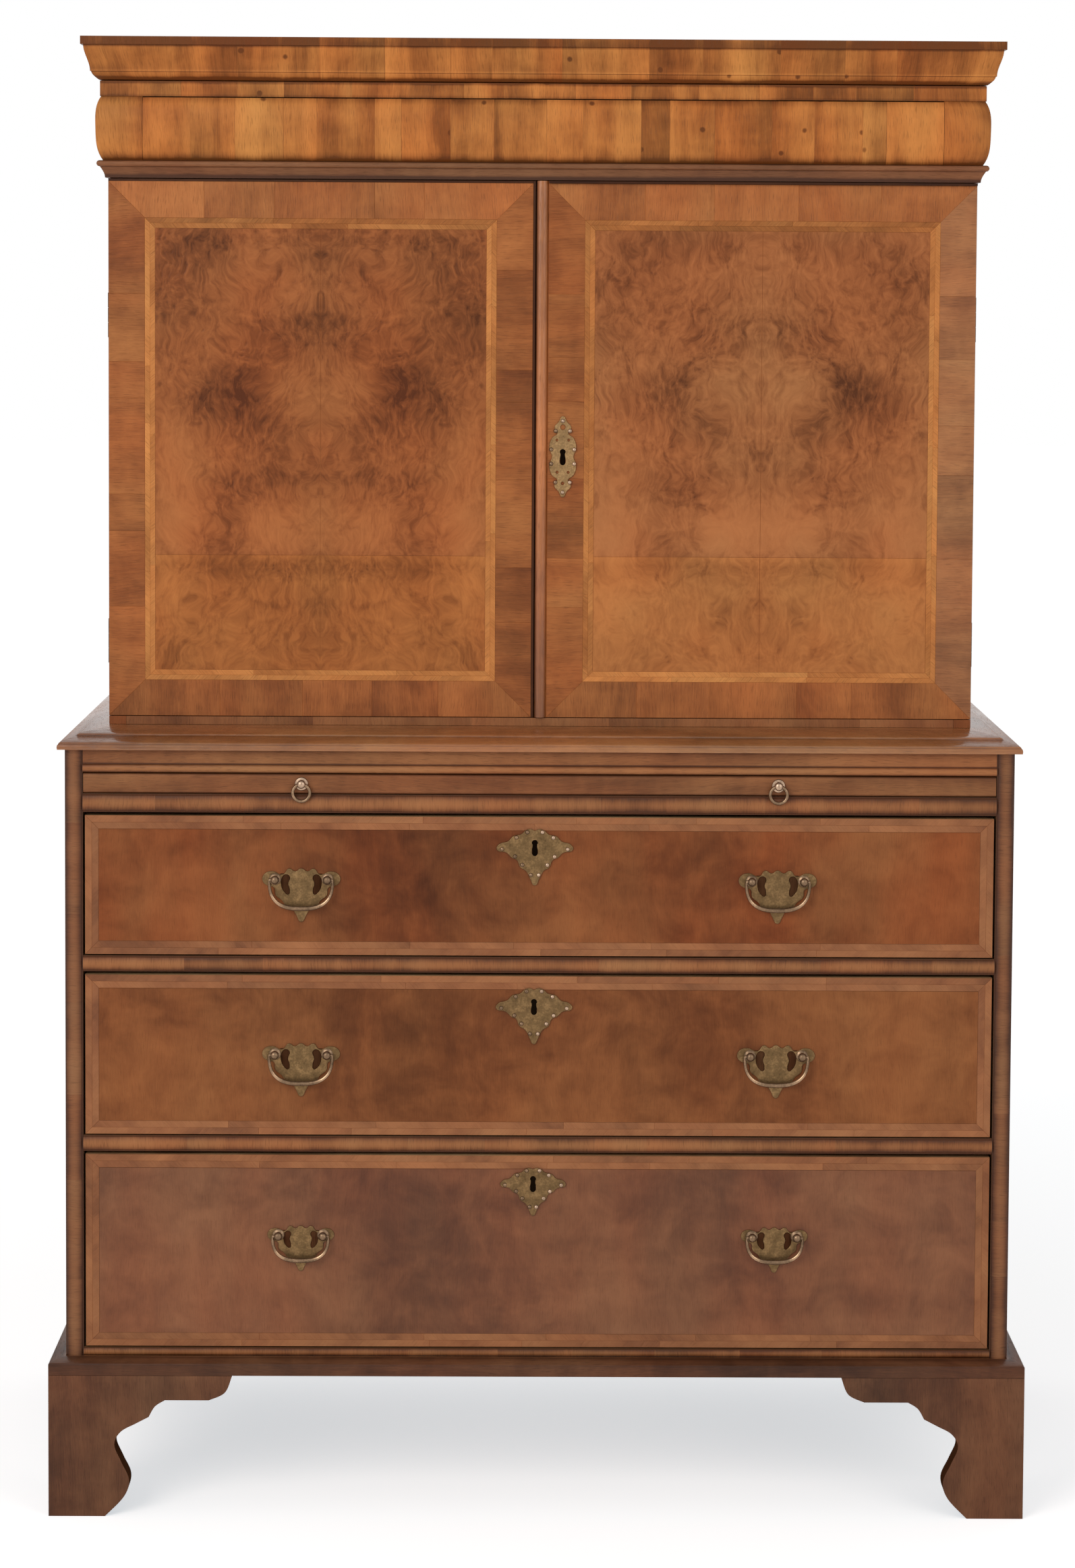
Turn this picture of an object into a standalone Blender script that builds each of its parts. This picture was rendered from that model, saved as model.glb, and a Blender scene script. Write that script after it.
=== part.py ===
"""Cabinet on chest in figured walnut: a two-door cabinet with a cushion frieze drawer, standing on a chest of
three long drawers with a brushing slide, a moulded waist and bracket feet.

Metres, +Z up. The front faces -Y, +X is to the right of someone facing it, and the origin is on the floor under
the middle of the object's box.
"""

import math

import bmesh
import bpy
from mathutils import Matrix

# Chest, outside
CHEST_WIDTH = 1.055
CHEST_DEPTH = 0.525
CHEST_SIDE = 0.0195
CHEST_BACK = 0.012
CHEST_BOTTOM = 0.018
CHEST_TOP = 0.0255

# Chest, heights of the openings and of the rails between them
FOOT_HEIGHT = 0.160
BASE_FASCIA = 0.012
BASE_OVOLO = 0.0052
BOTTOM_RAIL_SHOW = 0.009
LOWER_OPENING = 0.2228
MIDDLE_OPENING = 0.185
UPPER_OPENING = 0.161
RAIL = 0.0175
SLIDE_RAIL = 0.0205
SLIDE_OPENING = 0.024

# Beads on the front edges of the chest
BEAD_PROJECTION = 0.0025
BEAD_QUIRK = 0.001
EDGE_BEAD = 0.009

# Base moulding and bracket feet
BASE_PROJECTION = 0.0175
BASE_TOP_PROJECTION = 0.004
FOOT_LENGTH = 0.205
FOOT_PAD = 0.063
FOOT_BOARD = 0.024
REAR_BRACKET = 0.130

# Waist moulding, a frame on the chest that the cabinet stands on
WAIST_HEIGHT = 0.0207
LIP_OVERHANG = 0.0075
LIP_EDGE = 0.005
WAIST_OVOLO_WIDTH = 0.019
WAIST_OVOLO_RISE = 0.0085
WAIST_QUIRK = 0.0012
WAIST_SLOPE_WIDTH = 0.030
WAIST_BEARING = 0.0175

# Cabinet
CABINET_SETBACK = 0.0625
CABINET_SIDE_SETBACK = 0.0425
CABINET_SIDE = 0.019
CABINET_BACK = 0.012
CABINET_BASE_EDGE = 0.009
CABINET_BOTTOM = 0.018
CABINET_TOP = 0.020
DOOR_HEIGHT = 0.603
DOOR_BOARD = 0.022

# Cornice, from its foot up, with how far each member stands out from the case
ASTRAGAL_HEIGHT = 0.019
CUSHION_HEIGHT = 0.071
BAND_HEIGHT = 0.018
OVOLO_HEIGHT = 0.009
CYMA_HEIGHT = 0.029
FILLET_HEIGHT = 0.009
ASTRAGAL_FOOT = 0.003
ASTRAGAL_PROJECTION = 0.0115
ASTRAGAL_BEAD = 0.007
CUSHION_FOOT = 0.005
CUSHION_SWELL = 0.0125
CUSHION_HEAD = 0.0066
CUSHION_FULLNESS = 3.5
BAND_PROJECTION = 0.0078
OVOLO_PROJECTION = 0.0165
CYMA_PROJECTION = 0.0245
FILLET_PROJECTION = 0.0275
CORNICE_QUIRK = 0.0012

# Doors, their meeting edge and hinges
MEETING_LINE = -0.0076
MEETING_GAP = 0.001
MEETING_BEAD_WIDTH = 0.0125
MEETING_BEAD_PROJECTION = 0.004
DOOR_CLEARANCE = 0.0008
HINGE_LENGTH = 0.050
HINGE_UPPER_INSET = 0.153
HINGE_LOWER_INSET = 0.083
HINGE_LEAF_WIDTH = 0.016
HINGE_LEAF = 0.0015
HINGE_KNUCKLE = 0.0028
HINGE_PIN = 0.0012
HINGE_OFFSET = 0.0004
HINGE_GAP = 0.001
HINGE_PLAY = 0.0004

# Frieze drawer in the cushion
FRIEZE_END_BLOCK = 0.039
FRIEZE_FRONT_INSET = 0.012
FRIEZE_BACK_SPACE = 0.063

# Long drawers and the brushing slide
DRAWER_FRONT = 0.021
DRAWER_GAP = 0.0012
DRAWER_WALL = 0.011
DRAWER_FLOOR = 0.008
DRAWER_HEADROOM = 0.006
DRAWER_BACK_SPACE = 0.014
SLIDE_BACK_SPACE = 0.115
SLIDE_PLAY = 0.0008

# Bail handles: plate, posts and bail, with the lower drawer's smaller set
HANDLE_INSET = 0.243
UPPER_HANDLE_DROP = 0.074
MIDDLE_HANDLE_DROP = 0.092
LOWER_HANDLE_DROP = 0.094
LOWER_BRASS_SHARE = 0.86
PLATE_HALF_WIDTH = 0.043
PLATE_ABOVE_AXIS = 0.012
PLATE_BELOW_AXIS = 0.048
PLATE_THICKNESS = 0.0012
POST_SPREAD = 0.029
POST_RADIUS = 0.0036
POST_REACH = 0.007
BAIL_RADIUS = 0.0019
BAIL_HALF_WIDTH = 0.0352
BAIL_DROP = 0.032
BAIL_SQUARENESS = 2.7
BAIL_SHOULDER = 0.0011
BAIL_STEPS = 20
PIVOT_PLAY = 0.0004

# Escutcheons, measured from the keyhole line of each
UPPER_ESCUTCHEON_DROP = 0.0375
MIDDLE_ESCUTCHEON_DROP = 0.0375
LOWER_ESCUTCHEON_DROP = 0.035
SHIELD_HALF_WIDTH = 0.0425
SHIELD_RISE = 0.0205
SHIELD_FALL = 0.0425
SHIELD_OFFSET = -0.0055
DOOR_PLATE_HALF_WIDTH = 0.015
DOOR_PLATE_HALF_HEIGHT = 0.0455
DOOR_PLATE_INSET = 0.0311
DOOR_PLATE_HEIGHT = 0.2945
KEYHOLE_RADIUS = 0.0018
KEYHOLE_HEIGHT = 0.014
KEYHOLE_FOOT = 0.00145

# Ring pulls of the slide
RING_RADIUS = 0.0095
RING_WIRE = 0.0016
RING_SIDES = 24
RING_WIRE_SIDES = 8
EYE_RADIUS = 0.0042
EYE_REACH = 0.0056
EYE_ROSE_RADIUS = 0.0075
EYE_ROSE = 0.0014

# Fits shared by every piece
SEAT = 0.0003
WELD = 0.00001
CUT_OVERRUN = 0.01
ARC_STEPS = 6
OUTLINE_STEPS = 2
TUBE_STEPS = 2
ROUND_SIDES = 16
SMOOTH_ANGLE = math.radians(50)
FLAT_ANGLE = math.radians(0.5)
EMPTY_SIZE = 0.03

# Planes and heights worked out from the sizes above
FRONT = -(CHEST_DEPTH - BASE_PROJECTION - SEAT) / 2
BACK = FRONT + CHEST_DEPTH
FACE = FRONT + BEAD_PROJECTION
CHEST_BACK_FACE = BACK - CHEST_BACK
OPENING_HALF = CHEST_WIDTH / 2 - CHEST_SIDE
HANDLE_X = OPENING_HALF - HANDLE_INSET
BASE_TOP = FOOT_HEIGHT + BASE_FASCIA + BASE_OVOLO
LOWER_FLOOR = BASE_TOP + BOTTOM_RAIL_SHOW
LOWER_HEAD = LOWER_FLOOR + LOWER_OPENING
MIDDLE_FLOOR = LOWER_HEAD + RAIL
MIDDLE_HEAD = MIDDLE_FLOOR + MIDDLE_OPENING
UPPER_FLOOR = MIDDLE_HEAD + RAIL
UPPER_HEAD = UPPER_FLOOR + UPPER_OPENING
SLIDE_FLOOR = UPPER_HEAD + SLIDE_RAIL
SLIDE_HEAD = SLIDE_FLOOR + SLIDE_OPENING
CHEST_HEAD = SLIDE_HEAD + CHEST_TOP
WAIST_FLOOR = CHEST_HEAD + SEAT
WAIST_TOP = WAIST_FLOOR + WAIST_HEIGHT
CABINET_FLOOR = WAIST_TOP + SEAT
CABINET_HALF = CHEST_WIDTH / 2 - CABINET_SIDE_SETBACK
CABINET_INNER = CABINET_HALF - CABINET_SIDE
CABINET_FRONT = FRONT + CABINET_SETBACK
WAIST_WIDTH = max(CABINET_SIDE_SETBACK, CABINET_SETBACK) + LIP_OVERHANG + WAIST_BEARING
FRIEZE_HALF = CABINET_HALF - FRIEZE_END_BLOCK
CABINET_BACK_FACE = BACK - CABINET_BACK
DOOR_BACK = CABINET_FRONT + DOOR_BOARD
CASE_FRONT = DOOR_BACK + HINGE_GAP
DOOR_FLOOR = CABINET_FLOOR + CABINET_BASE_EDGE
DOOR_HEAD = DOOR_FLOOR + DOOR_HEIGHT
FRIEZE_FLOOR = DOOR_HEAD + ASTRAGAL_HEIGHT
FRIEZE_HEAD = FRIEZE_FLOOR + CUSHION_HEIGHT
CASE_HEAD = FRIEZE_HEAD + CABINET_TOP
HINGE_X = CABINET_HALF + HINGE_OFFSET
HINGE_Y = DOOR_BACK + HINGE_GAP / 2


# Scene and materials

def clear_scene():
    """Removes every object, so that the script starts from an empty scene."""
    for obj in list(bpy.data.objects):
        bpy.data.objects.remove(obj, do_unlink=True)


def new_collection(name):
    """A collection linked to the scene."""
    made = bpy.data.collections.new(name)
    bpy.context.scene.collection.children.link(made)
    return made


def finish(name, colour, roughness, metallic=0.0):
    """A Principled material of one colour."""
    made = bpy.data.materials.new(name)
    made.use_nodes = True
    shader = made.node_tree.nodes["Principled BSDF"]
    shader.inputs["Base Color"].default_value = (*colour, 1.0)
    shader.inputs["Roughness"].default_value = roughness
    shader.inputs["Metallic"].default_value = metallic
    return made


clear_scene()
PARTS = new_collection("cabinet_on_chest")
CUTTERS = new_collection("cutters")
BURR = finish("burr_walnut", (0.30, 0.115, 0.035), 0.32)
FIGURED = finish("figured_walnut", (0.22, 0.075, 0.025), 0.32)
CROSS = finish("crossgrain_walnut", (0.36, 0.155, 0.05), 0.35)
OAK = finish("drawer_oak", (0.42, 0.27, 0.13), 0.6)
DEAL = finish("carcase_deal", (0.45, 0.30, 0.16), 0.65)
BRASS = finish("antique_brass", (0.40, 0.31, 0.16), 0.38, 1.0)


# Ways of making a piece

def dress(obj, look):
    """Puts a finished object among the parts, in its own material."""
    obj.data.materials.clear()
    obj.data.materials.append(look)
    PARTS.objects.link(obj)
    return obj


def box_object(name, low, high):
    """An unlinked box between two corners, its origin at its middle."""
    size = [b - a for a, b in zip(low, high)]
    mesh = bpy.data.meshes.new(name)
    shape = bmesh.new()
    bmesh.ops.create_cube(shape, size=1.0, matrix=Matrix.Diagonal((*size, 1.0)))
    shape.to_mesh(mesh)
    shape.free()
    obj = bpy.data.objects.new(name, mesh)
    obj.location = [(a + b) / 2 for a, b in zip(low, high)]
    return obj


def shade(shape):
    """Smooth shading across gentle turns of a shape, with flat faces and crisp edges elsewhere."""
    for edge in shape.edges:
        edge.smooth = edge.calc_face_angle(0.0) < SMOOTH_ANGLE
    for face in shape.faces:
        turns = [edge.calc_face_angle(0.0) for edge in face.edges]
        face.smooth = any(FLAT_ANGLE < turn < SMOOTH_ANGLE for turn in turns)


def board(name, low, high, look):
    """A plain board between two corners."""
    return dress(box_object(name, low, high), look)


def cylinder_object(name, radius, axis, start, end, across):
    """An unlinked cylinder along one axis, from start to end, centred at the two places in across."""
    mesh = bpy.data.meshes.new(name)
    shape = bmesh.new()
    bmesh.ops.create_cone(
        shape,
        cap_ends=True,
        segments=ROUND_SIDES,
        radius1=radius,
        radius2=radius,
        depth=end - start,
    )
    shade(shape)
    shape.to_mesh(mesh)
    shape.free()
    obj = bpy.data.objects.new(name, mesh)
    place = list(across)
    place.insert("XYZ".index(axis), (start + end) / 2)
    obj.location = place
    obj.rotation_euler = {"X": (0, math.pi / 2, 0), "Y": (math.pi / 2, 0, 0), "Z": (0, 0, 0)}[axis]
    return obj


def helper(obj):
    """Puts an object among the cutters, which are drawn as wires and aren't part of the model."""
    obj.hide_render = True
    obj.display_type = "WIRE"
    CUTTERS.objects.link(obj)
    return obj


def boolean(obj, other, operation):
    """Cuts or joins a helper with a Boolean modifier."""
    step = obj.modifiers.new(other.name, "BOOLEAN")
    step.operation = operation
    step.solver = "EXACT"
    step.object = helper(other)


def cut(obj, other):
    """Takes the helper's shape out of the object."""
    boolean(obj, other, "DIFFERENCE")


def join(obj, other):
    """Adds the helper's shape to the object."""
    boolean(obj, other, "UNION")


def add_spline(curve, points, cyclic=True):
    """A straight-sided spline, or a smooth one where points carry a third value that is true for a corner."""
    smooth = len(points[0]) == 3
    spline = curve.splines.new("BEZIER" if smooth else "POLY")
    spline.use_cyclic_u = cyclic
    if not smooth:
        spline.points.add(len(points) - 1)
        for point, (u, v) in zip(spline.points, points):
            point.co = (u, v, 0.0, 1.0)
        return
    spline.bezier_points.add(len(points) - 1)
    for point, (u, v, corner) in zip(spline.bezier_points, points):
        point.co = (u, v, 0.0)
        point.handle_left_type = "VECTOR" if corner else "AUTO"
        point.handle_right_type = point.handle_left_type


def flat_curve(name, outlines):
    """A 2D curve of closed outlines, the first one round the others."""
    curve = bpy.data.curves.new(name, "CURVE")
    curve.dimensions = "2D"
    curve.resolution_u = OUTLINE_STEPS
    for points in outlines:
        add_spline(curve, points)
    return curve


def as_mesh(obj):
    """The piece that a curve makes as an unlinked mesh object with welded caps, which can be cut."""
    bpy.context.scene.collection.objects.link(obj)
    graph = bpy.context.evaluated_depsgraph_get()
    mesh = bpy.data.meshes.new_from_object(obj.evaluated_get(graph))
    shape = bmesh.new()
    shape.from_mesh(mesh)
    bmesh.ops.remove_doubles(shape, verts=shape.verts, dist=WELD)
    bmesh.ops.recalc_face_normals(shape, faces=shape.faces)
    shade(shape)
    shape.to_mesh(mesh)
    shape.free()
    name = obj.name
    place = obj.matrix_world.copy()
    bpy.data.objects.remove(obj, do_unlink=True)
    mesh.name = name
    made = bpy.data.objects.new(name, mesh)
    made.matrix_world = place
    return made


def turned_to(plane, distance=0.0):
    """The placing that stands a flat outline in one of the model's planes, at a distance square to it."""
    turns = {
        "XY": Matrix.Identity(4),
        "XZ": Matrix.Rotation(math.pi / 2, 4, "X"),
        "YZ": Matrix.Rotation(math.pi / 2, 4, "Z") @ Matrix.Rotation(math.pi / 2, 4, "X"),
    }
    square_to = next(axis for axis in "XYZ" if axis not in plane)
    shift = [distance if axis == square_to else 0.0 for axis in "XYZ"]
    return Matrix.Translation(shift) @ turns[plane]


def extruded(name, outlines, plane, start, end):
    """An unlinked solid: outlines drawn in a plane and run from start to end square to it."""
    curve = flat_curve(name, outlines)
    curve.fill_mode = "BOTH"
    curve.extrude = (end - start) / 2
    obj = bpy.data.objects.new(name, curve)
    obj.matrix_world = turned_to(plane, (start + end) / 2)
    return as_mesh(obj)


def swept(name, profile, half_width, front, back):
    """An unlinked moulding: a profile of (projection, height) run mitred round the front and both sides."""
    section = bpy.data.objects.new(name + "_profile", flat_curve(name + "_profile", [profile]))
    section.data.fill_mode = "NONE"
    helper(section)
    path = bpy.data.curves.new(name, "CURVE")
    path.dimensions = "2D"
    path.fill_mode = "NONE"
    add_spline(path, [(-half_width, back), (-half_width, front), (half_width, front), (half_width, back)], False)
    path.bevel_mode = "OBJECT"
    path.bevel_object = section
    path.use_fill_caps = True
    return as_mesh(bpy.data.objects.new(name, path))


def baked(obj):
    """The mesh of an object with its place, cuts and joins put into it, to share between copies of the piece."""
    place = obj.matrix_basis.copy()
    bpy.context.scene.collection.objects.link(obj)
    graph = bpy.context.evaluated_depsgraph_get()
    mesh = bpy.data.meshes.new_from_object(obj.evaluated_get(graph))
    mesh.transform(place)
    bpy.data.objects.remove(obj, do_unlink=True)
    return mesh


def copy_of(name, mesh, place, look, turn=0.0):
    """A part that shares a mesh, at a place, turned about the Y axis."""
    obj = bpy.data.objects.new(name, mesh)
    obj.location = place
    obj.rotation_euler = (0.0, turn, 0.0)
    if not mesh.materials:
        mesh.materials.append(look)
    PARTS.objects.link(obj)
    return obj


def carried(name, place, pieces):
    """Parents the pieces of one moving body to an empty on its axis or runner, and returns the empty."""
    empty = bpy.data.objects.new(name, None)
    empty.empty_display_size = EMPTY_SIZE
    empty.location = place
    PARTS.objects.link(empty)
    for piece in pieces:
        piece.parent = empty
        piece.matrix_parent_inverse = Matrix.Translation(place).inverted()
    return empty


# Outlines

def arc(centre, radii, first, last):
    """Points of an elliptical arc from one angle to another, in degrees."""
    found = []
    for step in range(ARC_STEPS + 1):
        angle = math.radians(first + (last - first) * step / ARC_STEPS)
        found.append((centre[0] + radii[0] * math.cos(angle), centre[1] + radii[1] * math.sin(angle)))
    return found


def oval(centre, radii):
    """A closed oval, its points turned so that no three of a pair of ovals are in line."""
    return arc(centre, radii, 15, 375)[:-1]


def bead(start, width, level):
    """A half-round bead across an edge, from start along it, standing forward of a level: (along, depth)."""
    half = width / 2
    return arc((start + half, level), (half, -BEAD_PROJECTION), 180, 0)


def broad_bead(start, width, level):
    """A bead with a quirk at each side, over a whole edge of the given width."""
    edge = [(start, level)]
    edge += bead(start + BEAD_QUIRK, width - 2 * BEAD_QUIRK, level)
    edge.append((start + width, level))
    return edge


def swapped(points):
    """The same points with their two values changed over."""
    return [(b, a) for a, b in points]


def mirrored(half):
    """A closed outline from its right half, which starts and ends on the middle line."""
    left = [(-u, v, corner) for u, v, corner in half[1:-1]]
    return half + left[::-1]


def cushion(share):
    """How far the cushion of the frieze stands out at a share of its height."""
    swell = CUSHION_SWELL - (CUSHION_FOOT + CUSHION_HEAD) / 2
    round_out = 1 - abs(2 * share - 1) ** CUSHION_FULLNESS
    return CUSHION_FOOT + (CUSHION_HEAD - CUSHION_FOOT) * share + swell * round_out


def cushion_line(low, high):
    """Points (projection, height) of the cushion between two heights above the frieze's floor."""
    steps = 2 * ARC_STEPS
    heights = [low + (high - low) * step / steps for step in range(steps + 1)]
    return [(cushion(height / CUSHION_HEIGHT), FRIEZE_FLOOR + height) for height in heights]


def ease(start, end, shape):
    """Points between two corners of a moulding; shape is cavetto, ovolo or cyma."""
    found = []
    for step in range(ARC_STEPS + 1):
        share = step / ARC_STEPS
        turn = {
            "cavetto": 1 - math.cos(share * math.pi / 2),
            "ovolo": math.sin(share * math.pi / 2),
            "cyma": (1 - math.cos(share * math.pi)) / 2,
        }[shape]
        found.append((start[0] + (end[0] - start[0]) * turn, start[1] + (end[1] - start[1]) * share))
    return found


def keyhole(height):
    """A keyhole about a height: a round top and a straight slot below it."""
    half = KEYHOLE_HEIGHT / 2
    top = arc((0.0, height + half - KEYHOLE_RADIUS), (KEYHOLE_RADIUS, KEYHOLE_RADIUS), -30, 210)
    return top + [(-KEYHOLE_FOOT, height - half), (KEYHOLE_FOOT, height - half)]


# Chest

def make_chest_sides():
    """Both sides, with a broad bead down the front edge."""
    for name, inner in (("chest_side_left", -CHEST_WIDTH / 2), ("chest_side_right", OPENING_HALF)):
        edge = broad_bead(inner, CHEST_SIDE, FACE)
        outline = edge + [(inner + CHEST_SIDE, BACK), (inner, BACK)]
        dress(extruded(name, [outline], "XY", FOOT_HEIGHT, CHEST_HEAD), FIGURED)


def make_chest_boards():
    """The boards between the sides: bottom, dividers and top, each with its beaded front edge, and the back."""
    reach = OPENING_HALF - SEAT
    rear = CHEST_BACK_FACE - SEAT
    dividers = {
        "drawer_divider_lower": (LOWER_HEAD, RAIL),
        "drawer_divider_upper": (MIDDLE_HEAD, RAIL),
        "slide_divider": (UPPER_HEAD, SLIDE_RAIL),
    }
    for name, (height, thickness) in dividers.items():
        edge = swapped(broad_bead(height, thickness, FACE))
        outline = edge + [(rear, height + thickness), (rear, height)]
        dress(extruded(name, [outline], "YZ", -reach, reach), CROSS)
    foot = LOWER_FLOOR - CHEST_BOTTOM
    step = LOWER_FLOOR - EDGE_BEAD
    edge = swapped(bead(step, EDGE_BEAD, FACE))
    outline = [(FRONT, foot), (FRONT, step)] + edge + [(rear, LOWER_FLOOR), (rear, foot)]
    dress(extruded("chest_bottom_board", [outline], "YZ", -reach, reach), CROSS)
    edge = swapped(bead(SLIDE_HEAD, EDGE_BEAD, FACE))
    outline = edge + [(FACE, CHEST_HEAD), (rear, CHEST_HEAD), (rear, SLIDE_HEAD)]
    dress(extruded("chest_top_board", [outline], "YZ", -reach, reach), CROSS)
    board(
        "chest_back_panel",
        (-reach, CHEST_BACK_FACE, LOWER_FLOOR - CHEST_BOTTOM),
        (reach, BACK, CHEST_HEAD),
        DEAL,
    )


def make_base_moulding():
    """The moulding round the foot of the chest, a fascia with an ovolo over it."""
    fascia = FOOT_HEIGHT + BASE_FASCIA
    profile = [(0.0, FOOT_HEIGHT), (BASE_PROJECTION, FOOT_HEIGHT)]
    profile += ease((BASE_PROJECTION, fascia), (BASE_TOP_PROJECTION, BASE_TOP), "cavetto")
    profile.append((0.0, BASE_TOP))
    made = swept("base_moulding", profile, CHEST_WIDTH / 2 + SEAT, FRONT - SEAT, BACK)
    dress(made, CROSS)


def bracket_line():
    """The shaped inner edge of a bracket foot: a bulge, a hollow, a cusp and a flat, from the floor up."""
    shares = (
        (0.15, 0.14, False),
        (0.19, 0.26, False),
        (0.127, 0.39, False),
        (0.074, 0.51, False),
        (0.125, 0.60, False),
        (0.246, 0.66, False),
        (0.345, 0.706, True),
        (0.394, 0.78, False),
        (0.472, 0.825, True),
        (0.817, 0.825, True),
        (0.944, 0.88, False),
    )
    reach = FOOT_LENGTH - FOOT_PAD
    return [(FOOT_PAD + reach * along, FOOT_HEIGHT * up, corner) for along, up, corner in shares]


def make_feet():
    """Two front feet with a shaped bracket each way and two rear feet with a plain bracket at the back."""
    top = FOOT_HEIGHT - SEAT
    shaped = [(0.0, 0.0, True), (FOOT_PAD, 0.0, True)] + bracket_line()
    shaped += [(FOOT_LENGTH, top, True), (0.0, top, True)]
    plain = [(0.0, 0.0), (FOOT_PAD, 0.0), (REAR_BRACKET, top), (0.0, top)]
    outer = CHEST_WIDTH / 2 + BASE_PROJECTION
    front = FRONT - SEAT - BASE_PROJECTION
    for side, sign in (("left", -1), ("right", 1)):
        across = [(sign * (outer + SEAT - u), v, corner) for u, v, corner in shaped]
        rear = [(sign * (outer + SEAT - u), v) for u, v in plain]
        along = [(front + u, v, corner) for u, v, corner in shaped]
        rear_along = [(BACK - u, v, corner) for u, v, corner in shaped]
        wall = sorted((sign * (outer + SEAT), sign * (outer + SEAT - FOOT_BOARD)))
        foot = extruded(f"front_foot_{side}", [across], "XZ", front, front + FOOT_BOARD)
        join(foot, extruded(f"front_foot_{side}_return", [along], "YZ", *wall))
        dress(foot, FIGURED)
        foot = extruded(f"rear_foot_{side}", [rear_along], "YZ", *wall)
        join(foot, extruded(f"rear_foot_{side}_bracket", [rear], "XZ", BACK - FOOT_BOARD, BACK))
        dress(foot, FIGURED)


def make_waist():
    """The moulded frame on top of the chest: a thin lip, an ovolo, a quirk and a sloping ledge."""
    outer = WAIST_WIDTH
    lip = WAIST_FLOOR + LIP_EDGE
    crest = outer - WAIST_OVOLO_WIDTH
    quirk = lip + WAIST_OVOLO_RISE
    slope = crest - WAIST_SLOPE_WIDTH
    profile = [(0.0, WAIST_FLOOR), (outer, WAIST_FLOOR), (outer, lip)]
    profile += ease((outer - WAIST_QUIRK, lip + WAIST_QUIRK), (crest, quirk), "cavetto")
    profile += ease((crest - WAIST_QUIRK, quirk + WAIST_QUIRK), (slope, WAIST_TOP), "cavetto")
    profile.append((0.0, WAIST_TOP))
    half = CHEST_WIDTH / 2 + LIP_OVERHANG - WAIST_WIDTH
    made = swept("waist_moulding", profile, half, FRONT - LIP_OVERHANG + WAIST_WIDTH, BACK)
    dress(made, CROSS)


# Drawers and slide

def drawer_tray(name, half, front, back, floor, top):
    """A drawer's box behind its front: two sides, a back and a bottom."""
    tray = box_object(name, (-half, front, floor), (half, back, top))
    hollow = box_object(
        name + "_hollow",
        (-half + DRAWER_WALL, front - CUT_OVERRUN, floor + DRAWER_FLOOR),
        (half - DRAWER_WALL, back - DRAWER_WALL, top + CUT_OVERRUN),
    )
    cut(tray, hollow)
    return dress(tray, OAK)


def bat_wing(share):
    """The plate's outline and piercings about the bail's axis, at a share of the full size."""
    wide = PLATE_HALF_WIDTH * share
    rise = PLATE_ABOVE_AXIS * share
    fall = PLATE_BELOW_AXIS * share
    half = [
        (0.0, rise, False),
        (0.16 * wide, 0.72 * rise, False),
        (0.32 * wide, 0.98 * rise, False),
        (0.48 * wide, 0.42 * rise, False),
        (0.74 * wide, 0.72 * rise, False),
        (0.96 * wide, 0.45 * rise, False),
        (wide, -0.05 * fall, False),
        (0.86 * wide, -0.16 * fall, False),
        (0.70 * wide, -0.20 * fall, False),
        (0.66 * wide, -0.38 * fall, False),
        (0.50 * wide, -0.50 * fall, False),
        (0.42 * wide, -0.60 * fall, False),
        (0.24 * wide, -0.68 * fall, False),
        (0.13 * wide, -0.84 * fall, False),
        (0.0, -fall, True),
    ]
    eye = 0.07 * wide
    slot = (0.13 * wide, 0.035 * fall)
    outlines = [mirrored(half)]
    for sign in (-1, 1):
        outlines.append(oval((sign * 0.40 * wide, -0.12 * fall), (eye, 1.3 * eye)))
        outlines.append(oval((sign * 0.22 * wide, -0.55 * fall), slot))
    return outlines


def plate_mesh(share):
    """A backplate with its two posts, bored across for the bail; the bail's axis is its X axis."""
    post = POST_SPREAD * share
    plate = extruded("backplate", bat_wing(share), "XZ", POST_REACH, POST_REACH + PLATE_THICKNESS)
    for sign in (-1, 1):
        stem = cylinder_object(
            "post", POST_RADIUS, "Y", -POST_RADIUS, POST_REACH + PLATE_THICKNESS / 2, (sign * post, 0.0)
        )
        join(plate, stem)
        reach = POST_RADIUS + CUT_OVERRUN / 2
        bore = cylinder_object(
            "post_bore", BAIL_RADIUS + PIVOT_PLAY, "X", sign * post - reach, sign * post + reach, (0.0, 0.0)
        )
        cut(plate, bore)
    return baked(plate)


def bail_mesh(share):
    """A bail as one bent wire whose ends turn in through the posts; its axis is its X axis."""
    wide = POST_SPREAD * share + BAIL_HALF_WIDTH - POST_SPREAD
    drop = BAIL_DROP * share
    pin = POST_SPREAD * share - POST_RADIUS - BAIL_RADIUS / 2
    power = 2 / BAIL_SQUARENESS
    loop = []
    for step in range(1, BAIL_STEPS):
        angle = math.pi * step / BAIL_STEPS
        x = math.copysign(abs(math.cos(angle)) ** power, math.cos(angle)) * wide
        loop.append((x, -drop * math.sin(angle) ** power))
    shoulder = wide - BAIL_SHOULDER
    points = [(pin, 0.0), (shoulder, 0.0)] + loop + [(-shoulder, 0.0), (-pin, 0.0)]
    curve = bpy.data.curves.new("bail", "CURVE")
    curve.dimensions = "3D"
    curve.bevel_depth = BAIL_RADIUS
    curve.bevel_resolution = TUBE_STEPS
    curve.use_fill_caps = True
    add_spline(curve, points, False)
    obj = bpy.data.objects.new("bail", curve)
    obj.matrix_world = turned_to("XZ")
    wire = as_mesh(obj)
    wire.data.transform(wire.matrix_world)
    return wire.data


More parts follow.
